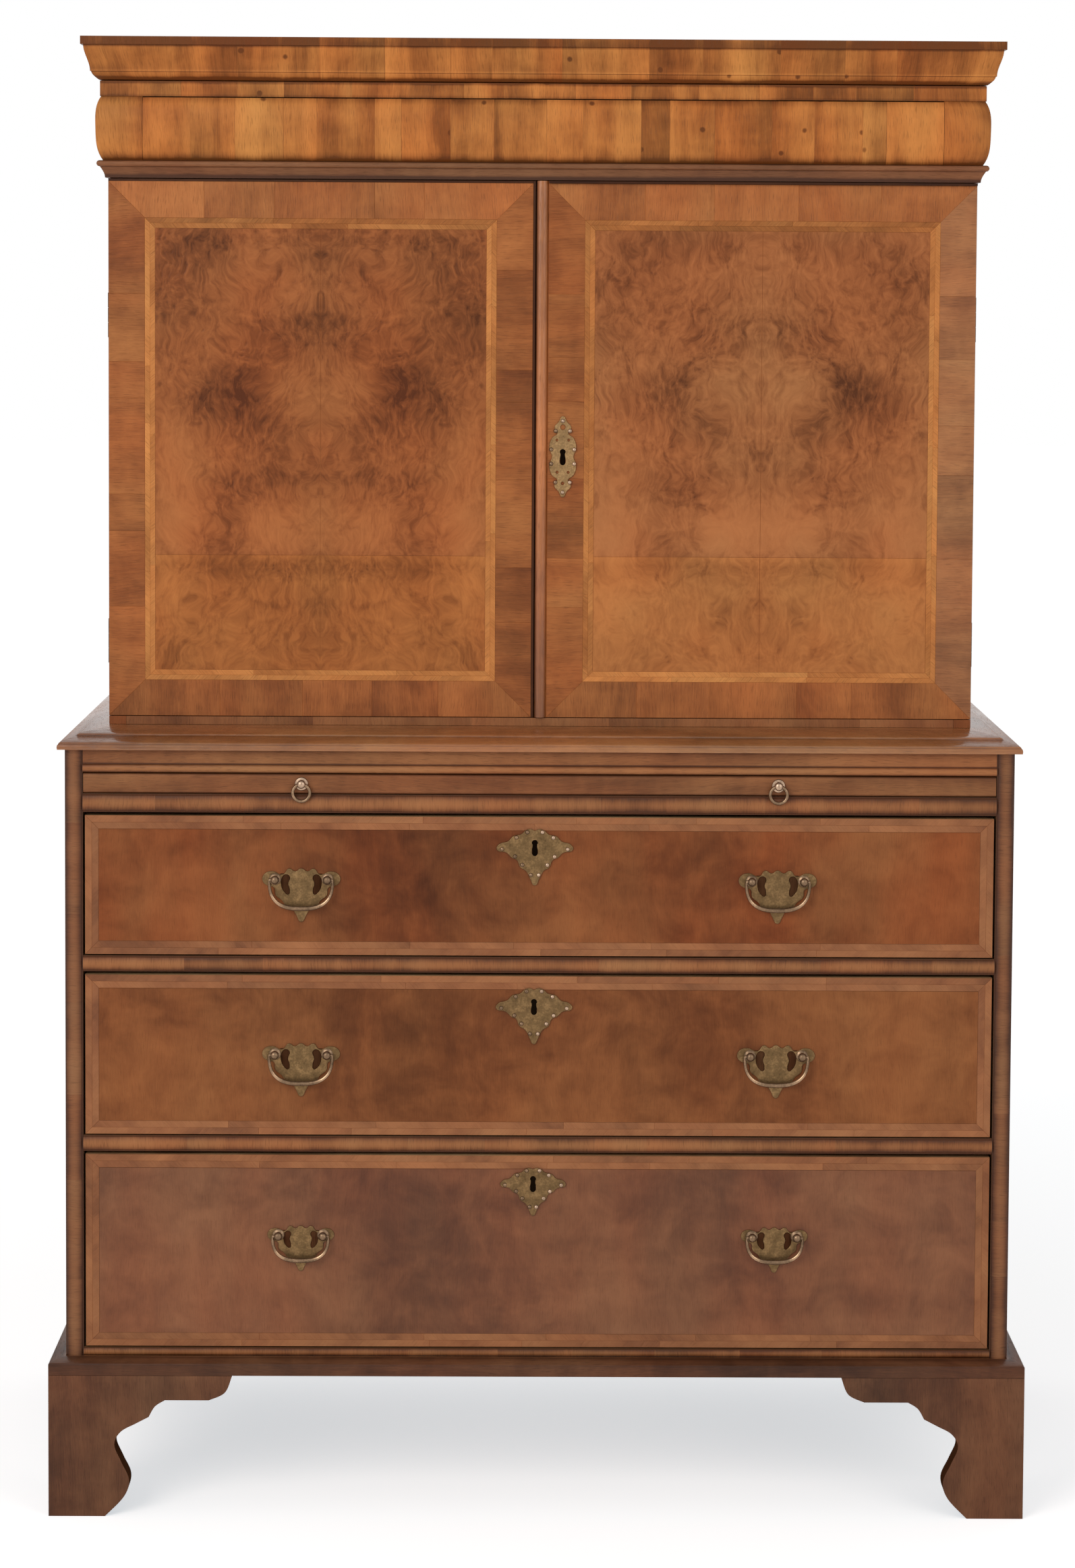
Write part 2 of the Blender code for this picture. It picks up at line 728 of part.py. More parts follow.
def shield(share):
    """A drawer escutcheon's scalloped kite about its widest line, with its keyhole."""
    wide = SHIELD_HALF_WIDTH * share
    rise = SHIELD_RISE * share
    fall = SHIELD_FALL * share
    half = [
        (0.0, 0.92 * rise, False),
        (0.10 * wide, rise, False),
        (0.23 * wide, 0.95 * rise, False),
        (0.34 * wide, 0.62 * rise, False),
        (0.54 * wide, 0.58 * rise, False),
        (0.68 * wide, 0.22 * rise, False),
        (0.93 * wide, 0.14 * rise, False),
        (wide, -0.05 * fall, False),
        (0.74 * wide, -0.14 * fall, False),
        (0.60 * wide, -0.27 * fall, False),
        (0.47 * wide, -0.33 * fall, False),
        (0.38 * wide, -0.52 * fall, False),
        (0.23 * wide, -0.62 * fall, False),
        (0.12 * wide, -0.82 * fall, False),
        (0.0, -fall, False),
    ]
    return [mirrored(half), keyhole(0.0)]


def make_handle(drawer, side, plate, bail, height):
    """A handle of one drawer: its backplate, which rides on the drawer, and the bail on an empty on its axis."""
    sign = {"left": -1, "right": 1}[side]
    place = (sign * HANDLE_X, FACE - SEAT - PLATE_THICKNESS - POST_REACH, height)
    backplate = copy_of(f"drawer_{drawer}_backplate_{side}", plate, place, BRASS)
    swinging = copy_of(f"drawer_{drawer}_bail_{side}", bail, place, BRASS)
    return backplate, carried(f"drawer_{drawer}_bail_{side}_axis", place, [swinging])


def make_drawer(drawer, floor, head, handle_drop, escutcheon_drop, share):
    """A long drawer: front, box, escutcheon and two bail handles, all on one runner."""
    half = OPENING_HALF - DRAWER_GAP
    front = board(
        f"drawer_{drawer}_front",
        (-half, FACE, floor + SEAT),
        (half, FACE + DRAWER_FRONT, head - DRAWER_GAP),
        FIGURED,
    )
    tray = drawer_tray(
        f"drawer_{drawer}_box",
        half,
        FACE + DRAWER_FRONT + SEAT,
        CHEST_BACK_FACE - DRAWER_BACK_SPACE,
        floor + SEAT,
        head - DRAWER_HEADROOM,
    )
    plate = extruded(
        f"drawer_{drawer}_escutcheon", shield(share), "XZ", FACE - SEAT - PLATE_THICKNESS, FACE - SEAT
    )
    plate.location.x = SHIELD_OFFSET
    plate.location.z = head - escutcheon_drop
    pieces = [front, tray, dress(plate, BRASS)]
    backplate = plate_mesh(share)
    bail = bail_mesh(share)
    for side in ("left", "right"):
        pieces += make_handle(drawer, side, backplate, bail, head - handle_drop)
    carried(f"drawer_{drawer}_runner", (0.0, FACE, floor), pieces)


def make_slide():
    """The brushing slide with two ring pulls, each ring on an empty on its axis in the eye."""
    half = OPENING_HALF - SLIDE_PLAY
    pieces = [
        board(
            "brushing_slide",
            (-half, FACE, SLIDE_FLOOR + SEAT),
            (half, CHEST_BACK_FACE - SLIDE_BACK_SPACE, SLIDE_HEAD - SLIDE_PLAY),
            FIGURED,
        )
    ]
    sag = RING_RADIUS - math.sqrt(RING_RADIUS**2 - EYE_RADIUS**2)
    bore_radius = RING_WIRE + sag + PIVOT_PLAY
    stem_radius = max(EYE_RADIUS, bore_radius + EYE_ROSE)
    back = EYE_REACH - SEAT
    eye = cylinder_object("eye", EYE_ROSE_RADIUS, "Y", back - EYE_ROSE, back, (0.0, 0.0))
    join(eye, cylinder_object("eye_stem", stem_radius, "Y", -stem_radius, back - EYE_ROSE / 2, (0.0, 0.0)))
    reach = stem_radius + CUT_OVERRUN
    cut(eye, cylinder_object("eye_bore", bore_radius, "X", -reach, reach, (0.0, 0.0)))
    shape = bpy.data.meshes.new("pull_ring")
    bpy.ops.mesh.primitive_torus_add(
        major_radius=RING_RADIUS,
        minor_radius=RING_WIRE,
        major_segments=RING_SIDES,
        minor_segments=RING_WIRE_SIDES,
        rotation=(math.pi / 2, 0, 0),
    )
    made = bpy.context.object
    turned = bmesh.new()
    turned.from_mesh(made.data)
    turned.transform(Matrix.Translation((0, 0, -RING_RADIUS)) @ made.rotation_euler.to_matrix().to_4x4())
    shade(turned)
    turned.to_mesh(shape)
    turned.free()
    bpy.data.objects.remove(made, do_unlink=True)
    eye_shape = baked(eye)
    for side, sign in (("left", -1), ("right", 1)):
        place = (sign * HANDLE_X, FACE - EYE_REACH, (SLIDE_FLOOR + SLIDE_HEAD) / 2)
        pieces.append(copy_of(f"slide_eye_{side}", eye_shape, place, BRASS))
        ring = copy_of(f"slide_ring_{side}", shape, place, BRASS)
        pieces.append(carried(f"slide_ring_{side}_axis", place, [ring]))
    carried("slide_runner", (0.0, FACE, SLIDE_FLOOR), pieces)


# Cabinet

def make_cabinet_sides():
    """Both sides, cut back behind the doors, with recesses for the case leaves of the hinges."""
    outline = [
        (CABINET_FRONT, CABINET_FLOOR),
        (CABINET_FRONT, DOOR_FLOOR),
        (CASE_FRONT, DOOR_FLOOR),
        (CASE_FRONT, DOOR_HEAD),
        (CABINET_FRONT, DOOR_HEAD),
        (CABINET_FRONT, CASE_HEAD),
        (BACK, CASE_HEAD),
        (BACK, CABINET_FLOOR),
    ]
    for side, sign in (("left", -1), ("right", 1)):
        wall = sorted((sign * CABINET_HALF, sign * CABINET_INNER))
        made = extruded(f"cabinet_side_{side}", [outline], "YZ", *wall)
        cut_hinges(made, sign, 1)
        dress(made, FIGURED)


def make_cabinet_boards():
    """Bottom with its edge under the doors, the board over the doors, the top and the back."""
    reach = CABINET_INNER - SEAT
    rear = CABINET_BACK_FACE - SEAT
    outline = [
        (CABINET_FRONT, CABINET_FLOOR),
        (CABINET_FRONT, DOOR_FLOOR),
        (CASE_FRONT, DOOR_FLOOR),
        (CASE_FRONT, CABINET_FLOOR + CABINET_BOTTOM),
        (rear, CABINET_FLOOR + CABINET_BOTTOM),
        (rear, CABINET_FLOOR),
    ]
    dress(extruded("cabinet_bottom_board", [outline], "YZ", -reach, reach), CROSS)
    board("frieze_board", (-reach, CABINET_FRONT, DOOR_HEAD), (reach, rear, FRIEZE_FLOOR), OAK)
    board("cabinet_top_board", (-reach, CABINET_FRONT, FRIEZE_HEAD), (reach, rear, CASE_HEAD), DEAL)
    board("cabinet_back_panel", (-reach, CABINET_BACK_FACE, CABINET_FLOOR), (reach, BACK, CASE_HEAD), DEAL)


def make_cornice():
    """Crown, band, cushion returns and astragal round the top of the case, open for the frieze drawer."""
    band = FRIEZE_HEAD + BAND_HEIGHT
    ovolo = band + OVOLO_HEIGHT
    cyma = ovolo + CYMA_HEIGHT
    bead_foot = FRIEZE_FLOOR - ASTRAGAL_BEAD
    half = ASTRAGAL_BEAD / 2
    neck = ASTRAGAL_PROJECTION - half
    profile = [(0.0, DOOR_HEAD)]
    profile += ease((ASTRAGAL_FOOT, DOOR_HEAD), (neck, bead_foot), "cavetto")
    profile += arc((neck, bead_foot + half), (half, half), -60, 90)
    profile += cushion_line(0.0, CUSHION_HEIGHT)
    profile += [(BAND_PROJECTION, FRIEZE_HEAD), (BAND_PROJECTION, band)]
    profile += ease((BAND_PROJECTION + CORNICE_QUIRK, band), (OVOLO_PROJECTION, ovolo), "ovolo")
    profile += ease((OVOLO_PROJECTION + CORNICE_QUIRK, ovolo), (CYMA_PROJECTION, cyma), "cyma")
    profile += [(FILLET_PROJECTION, cyma), (FILLET_PROJECTION, cyma + FILLET_HEIGHT)]
    profile.append((0.0, cyma + FILLET_HEIGHT))
    made = swept("cornice", profile, CABINET_HALF + SEAT, CABINET_FRONT - SEAT, BACK)
    opening = box_object(
        "frieze_opening",
        (-FRIEZE_HALF, CABINET_FRONT - CUSHION_SWELL - CUT_OVERRUN, FRIEZE_FLOOR),
        (FRIEZE_HALF, CABINET_FRONT + CUT_OVERRUN, FRIEZE_HEAD),
    )
    cut(made, opening)
    dress(made, CROSS)


def make_frieze_drawer():
    """The shallow drawer behind the cushion: its moulded front and its box."""
    half = FRIEZE_HALF - DRAWER_GAP
    low = SEAT
    high = CUSHION_HEIGHT - DRAWER_GAP
    back = CABINET_FRONT + FRIEZE_FRONT_INSET
    outline = [(CABINET_FRONT - SEAT - out, height) for out, height in cushion_line(low, high)]
    outline += [(back, FRIEZE_FLOOR + high), (back, FRIEZE_FLOOR + low)]
    front = dress(extruded("frieze_drawer_front", [outline], "YZ", -half, half), CROSS)
    tray = drawer_tray(
        "frieze_drawer_box",
        half,
        back + SEAT,
        CABINET_BACK_FACE - FRIEZE_BACK_SPACE,
        FRIEZE_FLOOR + SEAT,
        FRIEZE_HEAD - DRAWER_HEADROOM,
    )
    carried("frieze_drawer_runner", (0.0, back, FRIEZE_FLOOR), [front, tray])


# Doors and hinges

def hinge_heights():
    """The heights of the hinges' middles on each door."""
    return {"upper": DOOR_HEAD - HINGE_UPPER_INSET, "lower": DOOR_FLOOR + HINGE_LOWER_INSET}


def cut_hinges(obj, sign, facing):
    """Recesses for the hinges on one side; facing is 1 in the case and -1 in the door."""
    deep = HINGE_LEAF + HINGE_PLAY / 2 + SEAT
    clear = HINGE_KNUCKLE + HINGE_PLAY
    tall = HINGE_LENGTH / 2 + SEAT
    edge = sign * (HINGE_X + CUT_OVERRUN)
    for which, height in hinge_heights().items():
        for part, inward, depth in (("leaf", HINGE_LEAF_WIDTH + SEAT, deep), ("knuckle", clear, clear)):
            across = sorted((edge, sign * (HINGE_X - inward)))
            along = sorted((HINGE_Y - facing * CUT_OVERRUN, HINGE_Y + facing * depth))
            low = (across[0], along[0], height - tall)
            high = (across[1], along[1], height + tall)
            cut(obj, box_object(f"{obj.name}_{which}_{part}_recess", low, high))


def leaf_mesh(facing):
    """A hinge leaf with its knuckles about the pin, which is its Z axis: facing is 1 for the case leaf, which
    has the outer knuckles and the pin, and -1 for the door leaf, which has the middle knuckle."""
    half = HINGE_LENGTH / 2
    third = HINGE_LENGTH / 6
    flat = sorted((facing * HINGE_PLAY / 2, facing * (HINGE_PLAY / 2 + HINGE_LEAF)))
    inner = -HINGE_KNUCKLE - HINGE_PLAY
    leaf = box_object("leaf", (-HINGE_LEAF_WIDTH, flat[0], -half), (inner, flat[1], half))
    gap = HINGE_PLAY / 2
    spans = [(-half, -third - gap), (third + gap, half)] if facing > 0 else [(-third + gap, third - gap)]
    for low, high in spans:
        join(leaf, box_object("tab", (inner - HINGE_LEAF, flat[0], low), (0.0, flat[1], high)))
        join(leaf, cylinder_object("knuckle", HINGE_KNUCKLE, "Z", low, high, (0.0, 0.0)))
    if facing > 0:
        join(leaf, cylinder_object("pin", HINGE_PIN, "Z", -half + gap, half - gap, (0.0, 0.0)))
    else:
        bore = HINGE_PIN + HINGE_PLAY / 2
        cut(leaf, cylinder_object("pin_bore", bore, "Z", -half, half, (0.0, 0.0)))
    return baked(leaf)


def door_outline(sign):
    """A door in plan; the right door carries the half-round bead of the meeting edge."""
    outer = sign * CABINET_HALF
    meeting = MEETING_LINE + sign * MEETING_GAP / 2
    outline = [(outer, DOOR_BACK), (outer, CABINET_FRONT)]
    if sign > 0:
        half = MEETING_BEAD_WIDTH / 2
        root = CABINET_FRONT + BEAD_QUIRK
        outline.append((meeting + MEETING_BEAD_WIDTH + BEAD_QUIRK, CABINET_FRONT))
        outline += arc((meeting + half, root), (half, -MEETING_BEAD_PROJECTION - BEAD_QUIRK), 0, 180)
    else:
        outline.append((meeting, CABINET_FRONT))
    outline.append((meeting, DOOR_BACK))
    return outline


def door_plate():
    """The door escutcheon's lobed upright plate about its middle, with its keyhole."""
    wide = DOOR_PLATE_HALF_WIDTH
    tall = DOOR_PLATE_HALF_HEIGHT
    half = [
        (0.0, tall, False),
        (0.30 * wide, 0.86 * tall, False),
        (0.62 * wide, 0.72 * tall, False),
        (0.40 * wide, 0.58 * tall, False),
        (0.80 * wide, 0.46 * tall, False),
        (wide, 0.20 * tall, False),
        (0.80 * wide, 0.0, False),
        (wide, -0.20 * tall, False),
        (0.80 * wide, -0.46 * tall, False),
        (0.40 * wide, -0.58 * tall, False),
        (0.62 * wide, -0.72 * tall, False),
        (0.30 * wide, -0.86 * tall, False),
        (0.0, -tall, False),
    ]
    return [mirrored(half), keyhole(0.0)]


def make_doors():
    """The doors with their hinge leaves, each on an empty on its hinge axis, and the case leaves."""
    case_leaf = leaf_mesh(1)
    door_leaf = leaf_mesh(-1)
    low = DOOR_FLOOR + DOOR_CLEARANCE
    high = DOOR_HEAD - DOOR_CLEARANCE
    for side, sign in (("left", -1), ("right", 1)):
        door = extruded(f"door_{side}", [door_outline(sign)], "XY", low, high)
        cut_hinges(door, sign, -1)
        pieces = [dress(door, BURR)]
        turn = 0.0 if sign > 0 else math.pi
        axis = (sign * HINGE_X, HINGE_Y, 0.0)
        for which, height in hinge_heights().items():
            place = (axis[0], axis[1], height)
            copy_of(f"hinge_{side}_{which}_case_leaf", case_leaf, place, BRASS, turn)
            pieces.append(copy_of(f"hinge_{side}_{which}_door_leaf", door_leaf, place, BRASS, turn))
        if sign > 0:
            front = CABINET_FRONT - SEAT
            plate = extruded("door_escutcheon", door_plate(), "XZ", front - PLATE_THICKNESS, front)
            plate.location.x = MEETING_LINE + DOOR_PLATE_INSET
            plate.location.z = DOOR_FLOOR + DOOR_PLATE_HEIGHT
            pieces.append(dress(plate, BRASS))
        carried(f"door_{side}_hinge_axis", axis, pieces)


make_chest_sides()
make_chest_boards()
make_base_moulding()
make_feet()
make_waist()
make_drawer("upper", UPPER_FLOOR, UPPER_HEAD, UPPER_HANDLE_DROP, UPPER_ESCUTCHEON_DROP, 1.0)
make_drawer("middle", MIDDLE_FLOOR, MIDDLE_HEAD, MIDDLE_HANDLE_DROP, MIDDLE_ESCUTCHEON_DROP, 1.0)
make_drawer("lower", LOWER_FLOOR, LOWER_HEAD, LOWER_HANDLE_DROP, LOWER_ESCUTCHEON_DROP, LOWER_BRASS_SHARE)
make_slide()
make_cabinet_sides()
make_cabinet_boards()
make_cornice()
make_frieze_drawer()
make_doors()
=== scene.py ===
"""Cabinet on chest in figured walnut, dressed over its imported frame.

The file is laid out as an add-on: properties hold the sizes and colours, each operator makes one piece or one
group of like pieces, and main() calls the operators in order. Metres, the front faces -Y, +X is to the right.
"""

import math
import random
from collections import namedtuple

import bmesh
import bpy
from bpy.props import FloatProperty, FloatVectorProperty, PointerProperty
from mathutils import Matrix, Vector


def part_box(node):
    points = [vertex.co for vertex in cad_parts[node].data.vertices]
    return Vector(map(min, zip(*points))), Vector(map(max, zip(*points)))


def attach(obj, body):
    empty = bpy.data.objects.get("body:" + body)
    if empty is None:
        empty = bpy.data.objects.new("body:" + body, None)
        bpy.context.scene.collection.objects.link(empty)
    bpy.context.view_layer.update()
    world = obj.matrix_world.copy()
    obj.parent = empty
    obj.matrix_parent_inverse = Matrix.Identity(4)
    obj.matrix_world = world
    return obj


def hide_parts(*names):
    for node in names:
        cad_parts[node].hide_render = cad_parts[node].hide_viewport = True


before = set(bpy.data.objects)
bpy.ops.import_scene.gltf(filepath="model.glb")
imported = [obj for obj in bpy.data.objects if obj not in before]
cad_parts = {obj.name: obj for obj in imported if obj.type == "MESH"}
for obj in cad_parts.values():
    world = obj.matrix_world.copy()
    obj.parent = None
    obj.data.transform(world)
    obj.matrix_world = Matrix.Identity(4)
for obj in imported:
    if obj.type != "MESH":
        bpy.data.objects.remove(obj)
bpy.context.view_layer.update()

bl_info = {
    "name": "Cabinet on chest",
    "version": (1, 0, 0),
    "blender": (4, 5, 0),
    "location": "View3D > Sidebar > Cabinet",
    "description": "Veneers, mouldings, linings and brass of a walnut cabinet on chest",
    "category": "Object",
}

RIGHT = Vector((1.0, 0.0, 0.0))
REARWARD = Vector((0.0, 1.0, 0.0))
UP = Vector((0.0, 0.0, 1.0))
FORWARD = -REARWARD

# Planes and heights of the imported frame, whose solids stand a seat apart
SEAT = 0.0003
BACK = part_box("cornice")[1].y
CHEST_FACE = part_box("drawer_upper_front")[0].y
CHEST_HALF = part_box("chest_side_right")[1].x
CASE_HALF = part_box("cabinet_side_right")[1].x
DOOR_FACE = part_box("door_left")[0].y
CASE_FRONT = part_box("hinge_left_upper_case_leaf")[0].y
CORNICE_FRONT = DOOR_FACE - SEAT
CORNICE_HALF = CASE_HALF + SEAT
FRIEZE_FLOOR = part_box("frieze_board")[1].z
FRIEZE_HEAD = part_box("cabinet_top_board")[0].z
DOOR_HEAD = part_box("frieze_board")[0].z
CORNICE_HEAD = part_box("cornice")[1].z
BEAD_RISE = 0.0025
BEAD_QUIRK = 0.001

# Veneer work
VENEER = 0.0009
PROUD = 0.0003
SKIN = 0.0002
JOINT = 0.00022
DRAWER_END_ROOM = 0.0012
FEATHER_SLANT = 48
CLOUD_CELL = 0.011

# How tones and shades are spread and drawn
TONE_SHARE = 0.30
SHADE_SHARE = 0.42
END_GRAIN = 0.35
JOINT_TONE = -0.4
RUDDY = (1.10, 0.84, 0.74, 1.0)
GRAIN_SPAN = 9.0
CURVE_STEPS = 10
SMOOTH_ANGLE = math.radians(38)

# Brass
PLATE = 0.0012
PLATE_ANGLE = math.radians(50)
# Ease of the dark sheets painted as shadow in the keyholes and under the handles' piercings
SHADOW_SHEET_EASE = 0.00005

# Dark clouds of the burr, from a door's middle line: across, height, half width, half height, depth
BURR_CLOUDS = (
    (0.100, 1.262, 0.036, 0.030, 0.95),
    (0.135, 1.235, 0.022, 0.030, 0.45),
    (0.060, 1.215, 0.030, 0.020, 0.35),
    (0.020, 1.318, 0.050, 0.024, 0.50),
    (0.088, 1.145, 0.034, 0.024, 0.55),
    (0.104, 1.098, 0.026, 0.026, 0.55),
    (0.150, 1.405, 0.050, 0.040, 0.35),
    (0.060, 1.425, 0.090, 0.022, 0.30),
    (0.165, 1.330, 0.020, 0.040, 0.30),
    (0.166, 1.180, 0.022, 0.060, -0.55),
    (0.040, 1.265, 0.030, 0.026, -0.35),
    (0.030, 1.110, 0.050, 0.030, -0.30),
    (0.168, 1.060, 0.022, 0.080, -0.50),
    (0.060, 1.020, 0.050, 0.040, -0.20),
    (0.090, 1.105, 0.250, 0.035, -0.42),
    (0.090, 1.060, 0.250, 0.012, 0.45),
    (0.000, 1.005, 0.022, 0.035, 0.40),
)

# Broad clouds of the drawer fronts: across, share of height, half width, half share, depth
DRAWER_CLOUDS = (
    (-0.12, 0.55, 0.10, 0.55, 0.60),
    (0.20, 0.60, 0.12, 0.50, 0.40),
    (-0.37, 0.40, 0.09, 0.60, -0.45),
    (0.43, 0.45, 0.09, 0.60, -0.30),
    (0.05, 0.20, 0.12, 0.30, -0.30),
    (-0.30, 0.90, 0.16, 0.22, 0.30),
    (0.32, 0.85, 0.10, 0.25, -0.20),
)


# What a user would change

def length(name, description, default):
    """A size in metres."""
    return FloatProperty(name=name, description=description, default=default, min=0.0, unit="LENGTH")


def tint(name, description, default):
    """A linear colour."""
    return FloatVectorProperty(
        name=name, description=description, default=default, size=3, min=0.0, max=1.0, subtype="COLOR"
    )


class CabinetSizes(bpy.types.PropertyGroup):
    """Sizes of the veneers and of the brass"""

    crossband: length("Door crossband", "Width of the mitred crossband round a door", 0.0405)
    feather: length("Door feather band", "Width of the light band inside the crossband", 0.0115)
    drawer_band: length("Drawer band", "Width of the feather band round a drawer front", 0.0150)
    shadow_gap: length("Drawer gap", "Room planed off over each drawer front", 0.0026)
    foot_gap: length("Drawer foot gap", "Room planed off under each drawer front", 0.0014)
    panel_joint: length("Panel joint", "Height of the level joint in the door panels", 1.0726)
    leaf: length("Crossgrain leaf", "Usual length of a crossgrain leaf along a moulding", 0.050)
    rail_leaf: length("Rail leaf", "Usual length of a crossgrain leaf along a rail", 0.095)
    plank: length("Back plank", "Usual width of a plank in the backs", 0.165)
    pip: length("Brass pip", "Radius of the raised pips on the escutcheons", 0.0025)


class CabinetColours(bpy.types.PropertyGroup):
    """Middle colours of the finishes"""

    # The colours run from the lighter cornice down to the darker drawers, base and feet, partly the walnut's own tone
    # and partly painted shade for the light falling off towards the floor
    burr: tint("Burr", "Burr walnut of the left door's panel", (0.312, 0.108, 0.034))
    faded_burr: tint("Faded burr", "Burr walnut of the right door's panel", (0.312, 0.118, 0.041))
    figured: tint("Figured", "Plainer walnut at the foot of the left door's panel", (0.372, 0.134, 0.037))
    faded_figured: tint("Faded figured", "Plainer walnut at the foot of the right door's panel", (0.365, 0.139, 0.042))
    crossband: tint("Crossband", "Crossbands of the doors", (0.350, 0.125, 0.037))
    grey_crossband: tint("Grey crossband", "Faded crossband at the right edge", (0.340, 0.145, 0.054))
    feather: tint("Feather", "Light bands round the panels", (0.490, 0.198, 0.058))
    cornice: tint("Cornice", "Crossgrain walnut of the cornice", (0.425, 0.164, 0.041))
    drawer: tint("Drawer", "Figured walnut of the upper drawer front", (0.225, 0.076, 0.025))
    drawer_middle: tint("Middle drawer", "Paler walnut of the middle drawer front", (0.236, 0.084, 0.028))
    drawer_band: tint("Drawer band", "Lighter bands round the drawer fronts", (0.272, 0.107, 0.042))
    drawer_low: tint("Low drawer", "Greyer walnut of the lowest drawer front", (0.198, 0.078, 0.034))
    rail: tint("Rail", "Walnut of the beaded rails and the slide", (0.240, 0.098, 0.037))
    waist: tint("Waist", "Lighter walnut of the waist moulding", (0.300, 0.128, 0.047))
    stile: tint("Stile", "Browner walnut of the chest's front edges", (0.185, 0.078, 0.033))
    plinth: tint("Plinth", "Darker walnut of the base and the feet", (0.138, 0.060, 0.028))
    side: tint("Side", "Walnut of the sides of both cases", (0.215, 0.075, 0.026))
    oak: tint("Oak", "Oak of the drawer linings", (0.330, 0.205, 0.100))
    deal: tint("Deal", "Deal of the backs and hidden boards", (0.380, 0.235, 0.115))
    # Painted shadow: a dark strip stands for the shade in the gap where the doors meet and under the astragal at their
    # heads
    dark_line: tint("Dark line", "Dirt in the joint where the doors meet", (0.050, 0.017, 0.006))
    brass: tint("Brass", "Worn and tarnished brass of the plates", (0.150, 0.090, 0.040))
    rubbed_brass: tint("Rubbed brass", "Brass kept bright by hands", (0.205, 0.130, 0.078))
    bright_brass: tint("Bright brass", "Worn crests of the brass", (0.420, 0.290, 0.200))
    iron: tint("Iron", "Nails of the backs", (0.055, 0.045, 0.040))
    # Painted shadow: the colour of the dark sheet set in each keyhole for the shade in the hole
    keyhole: tint("Keyhole", "Dark behind the keyholes", (0.008, 0.005, 0.003))


class StageSettings(bpy.types.PropertyGroup):
    """Light and floor of the studio"""

    ambient: FloatProperty(name="Ambient", description="Strength of the even light", default=0.52, min=0.0)
    key: FloatProperty(name="Key", description="Power of the soft lamp", default=74.0, min=0.0, unit="POWER")
    fill: FloatProperty(name="Fill", description="Power of the second lamp", default=26.0, min=0.0, unit="POWER")
    floor: tint("Floor", "Pale floor", (0.97, 0.87, 0.80))
    veil: tint("Floor whitening", "What is added to the floor where it is looked at", (0.512, 0.562, 0.598))


# Shader maths

class Field:
    """A shader socket; arithmetic on it adds Math nodes."""

    def __init__(self, finish, socket):
        self.finish = finish
        self.socket = socket

    def math(self, operation, *values):
        """A Math node over values, which are fields or numbers."""
        return self.finish.node("ShaderNodeMath", {"operation": operation}, dict(enumerate(values)))

    def __add__(self, other):
        return self.math("ADD", self, other)

    def __sub__(self, other):
        return self.math("SUBTRACT", self, other)

    def __rsub__(self, other):
        return self.math("SUBTRACT", other, self)

    def __mul__(self, other):
        return self.math("MULTIPLY", self, other)

    __radd__ = __add__
    __rmul__ = __mul__

    def held(self, low=0.0, high=1.0):
        """The value kept between two limits."""
        return self.math("MINIMUM", self.math("MAXIMUM", self, low), high)


class Finish:
    """A material in the making."""

    def __init__(self, name, owner=None):
        self.owner = owner or bpy.data.materials.new(name)
        self.owner.use_nodes = True
        self.tree = self.owner.node_tree
        self.tree.nodes.clear()

    def node(self, kind, settings=None, sockets=None, out=0):
        """A node of a type, its settings set first, then its sockets' values or links; returns one output."""
        made = self.tree.nodes.new(kind)
        for key, value in (settings or {}).items():
            if key == "stops":
                elements = made.color_ramp.elements
                while len(elements) < len(value):
                    elements.new(1.0)
                for element, (place, colour) in zip(elements, value):
                    element.position = place
                    element.color = (*colour, 1.0)
            else:
                setattr(made, key, value)
        for key, value in (sockets or {}).items():
            if isinstance(value, Field):
                self.tree.links.new(value.socket, made.inputs[key])
            else:
                made.inputs[key].default_value = value
        return Field(self, made.outputs[out]) if len(made.outputs) else None

    def vector(self, operation, *values, out=0):
        """A Vector Math node."""
        return self.node("ShaderNodeVectorMath", {"operation": operation}, dict(enumerate(values)), out)

    def noise(self, place, along, across, detail=2.0, rough=0.5, out=0):
        """Noise on a grain map, with its cells to the metre along and across the grain."""
        spread = self.vector("MULTIPLY", place, (along, across, 0.0))
        sockets = {"Vector": spread, "Scale": 1.0, "Detail": detail, "Roughness": rough}
        return self.node("ShaderNodeTexNoise", {"noise_dimensions": "2D"}, sockets, out)

    def mixed(self, share, first, second, blend="MIX"):
        """Two colours mixed."""
        settings = {"data_type": "RGBA", "blend_type": blend}
        return self.node("ShaderNodeMix", settings, {0: share, 6: first, 7: second}, 2)

    def attribute(self, name):
        """A value carried by the mesh."""
        return self.node("ShaderNodeAttribute", {"attribute_name": name}, None, "Fac")

    def surface(self, **sockets):
        """The Principled shader and the output; names use _ for a space."""
        named = {key.replace("_", " "): value for key, value in sockets.items()}
        shader = self.node("ShaderNodeBsdfPrincipled", None, named)
        self.node("ShaderNodeOutputMaterial", None, {"Surface": shader})
        return self.owner


def shades(colour, dark, light):
    """Ramp stops of a timber about its middle colour: reddish darks, yellower lights."""
    red, green, blue = colour

    def step(share, warm):
        return tuple(min(1.0, value * share * warm**power) for value, power in zip((red, green, blue), (0, 1, 1.3)))

    return (
        (0.06, step(dark, 0.86)),
        (0.34, step(0.70, 0.94)),
        (0.52, step(1.0, 1.0)),
        (0.74, step(1.30, 1.06)),
        (1.0, step(light, 1.10)),
    )


def grain_map(finish, axis):
    """The mesh's grain map, or for a solid of the frame a map along one axis of its place at rest."""
    if axis is None:
        return finish.node("ShaderNodeUVMap", {"uv_map": "grain"})
    place = finish.node("ShaderNodeTexCoord", None, None, "Object")
    across = [0.0 if part else 1.0 for part in axis]
    along = finish.vector("DOT_PRODUCT", place, tuple(axis), out="Value")
    side = finish.vector("DOT_PRODUCT", place, (across[0], 0.83 * across[1], 1.1 * across[2]), out="Value")
    return finish.node("ShaderNodeCombineXYZ", None, {0: along, 1: side})


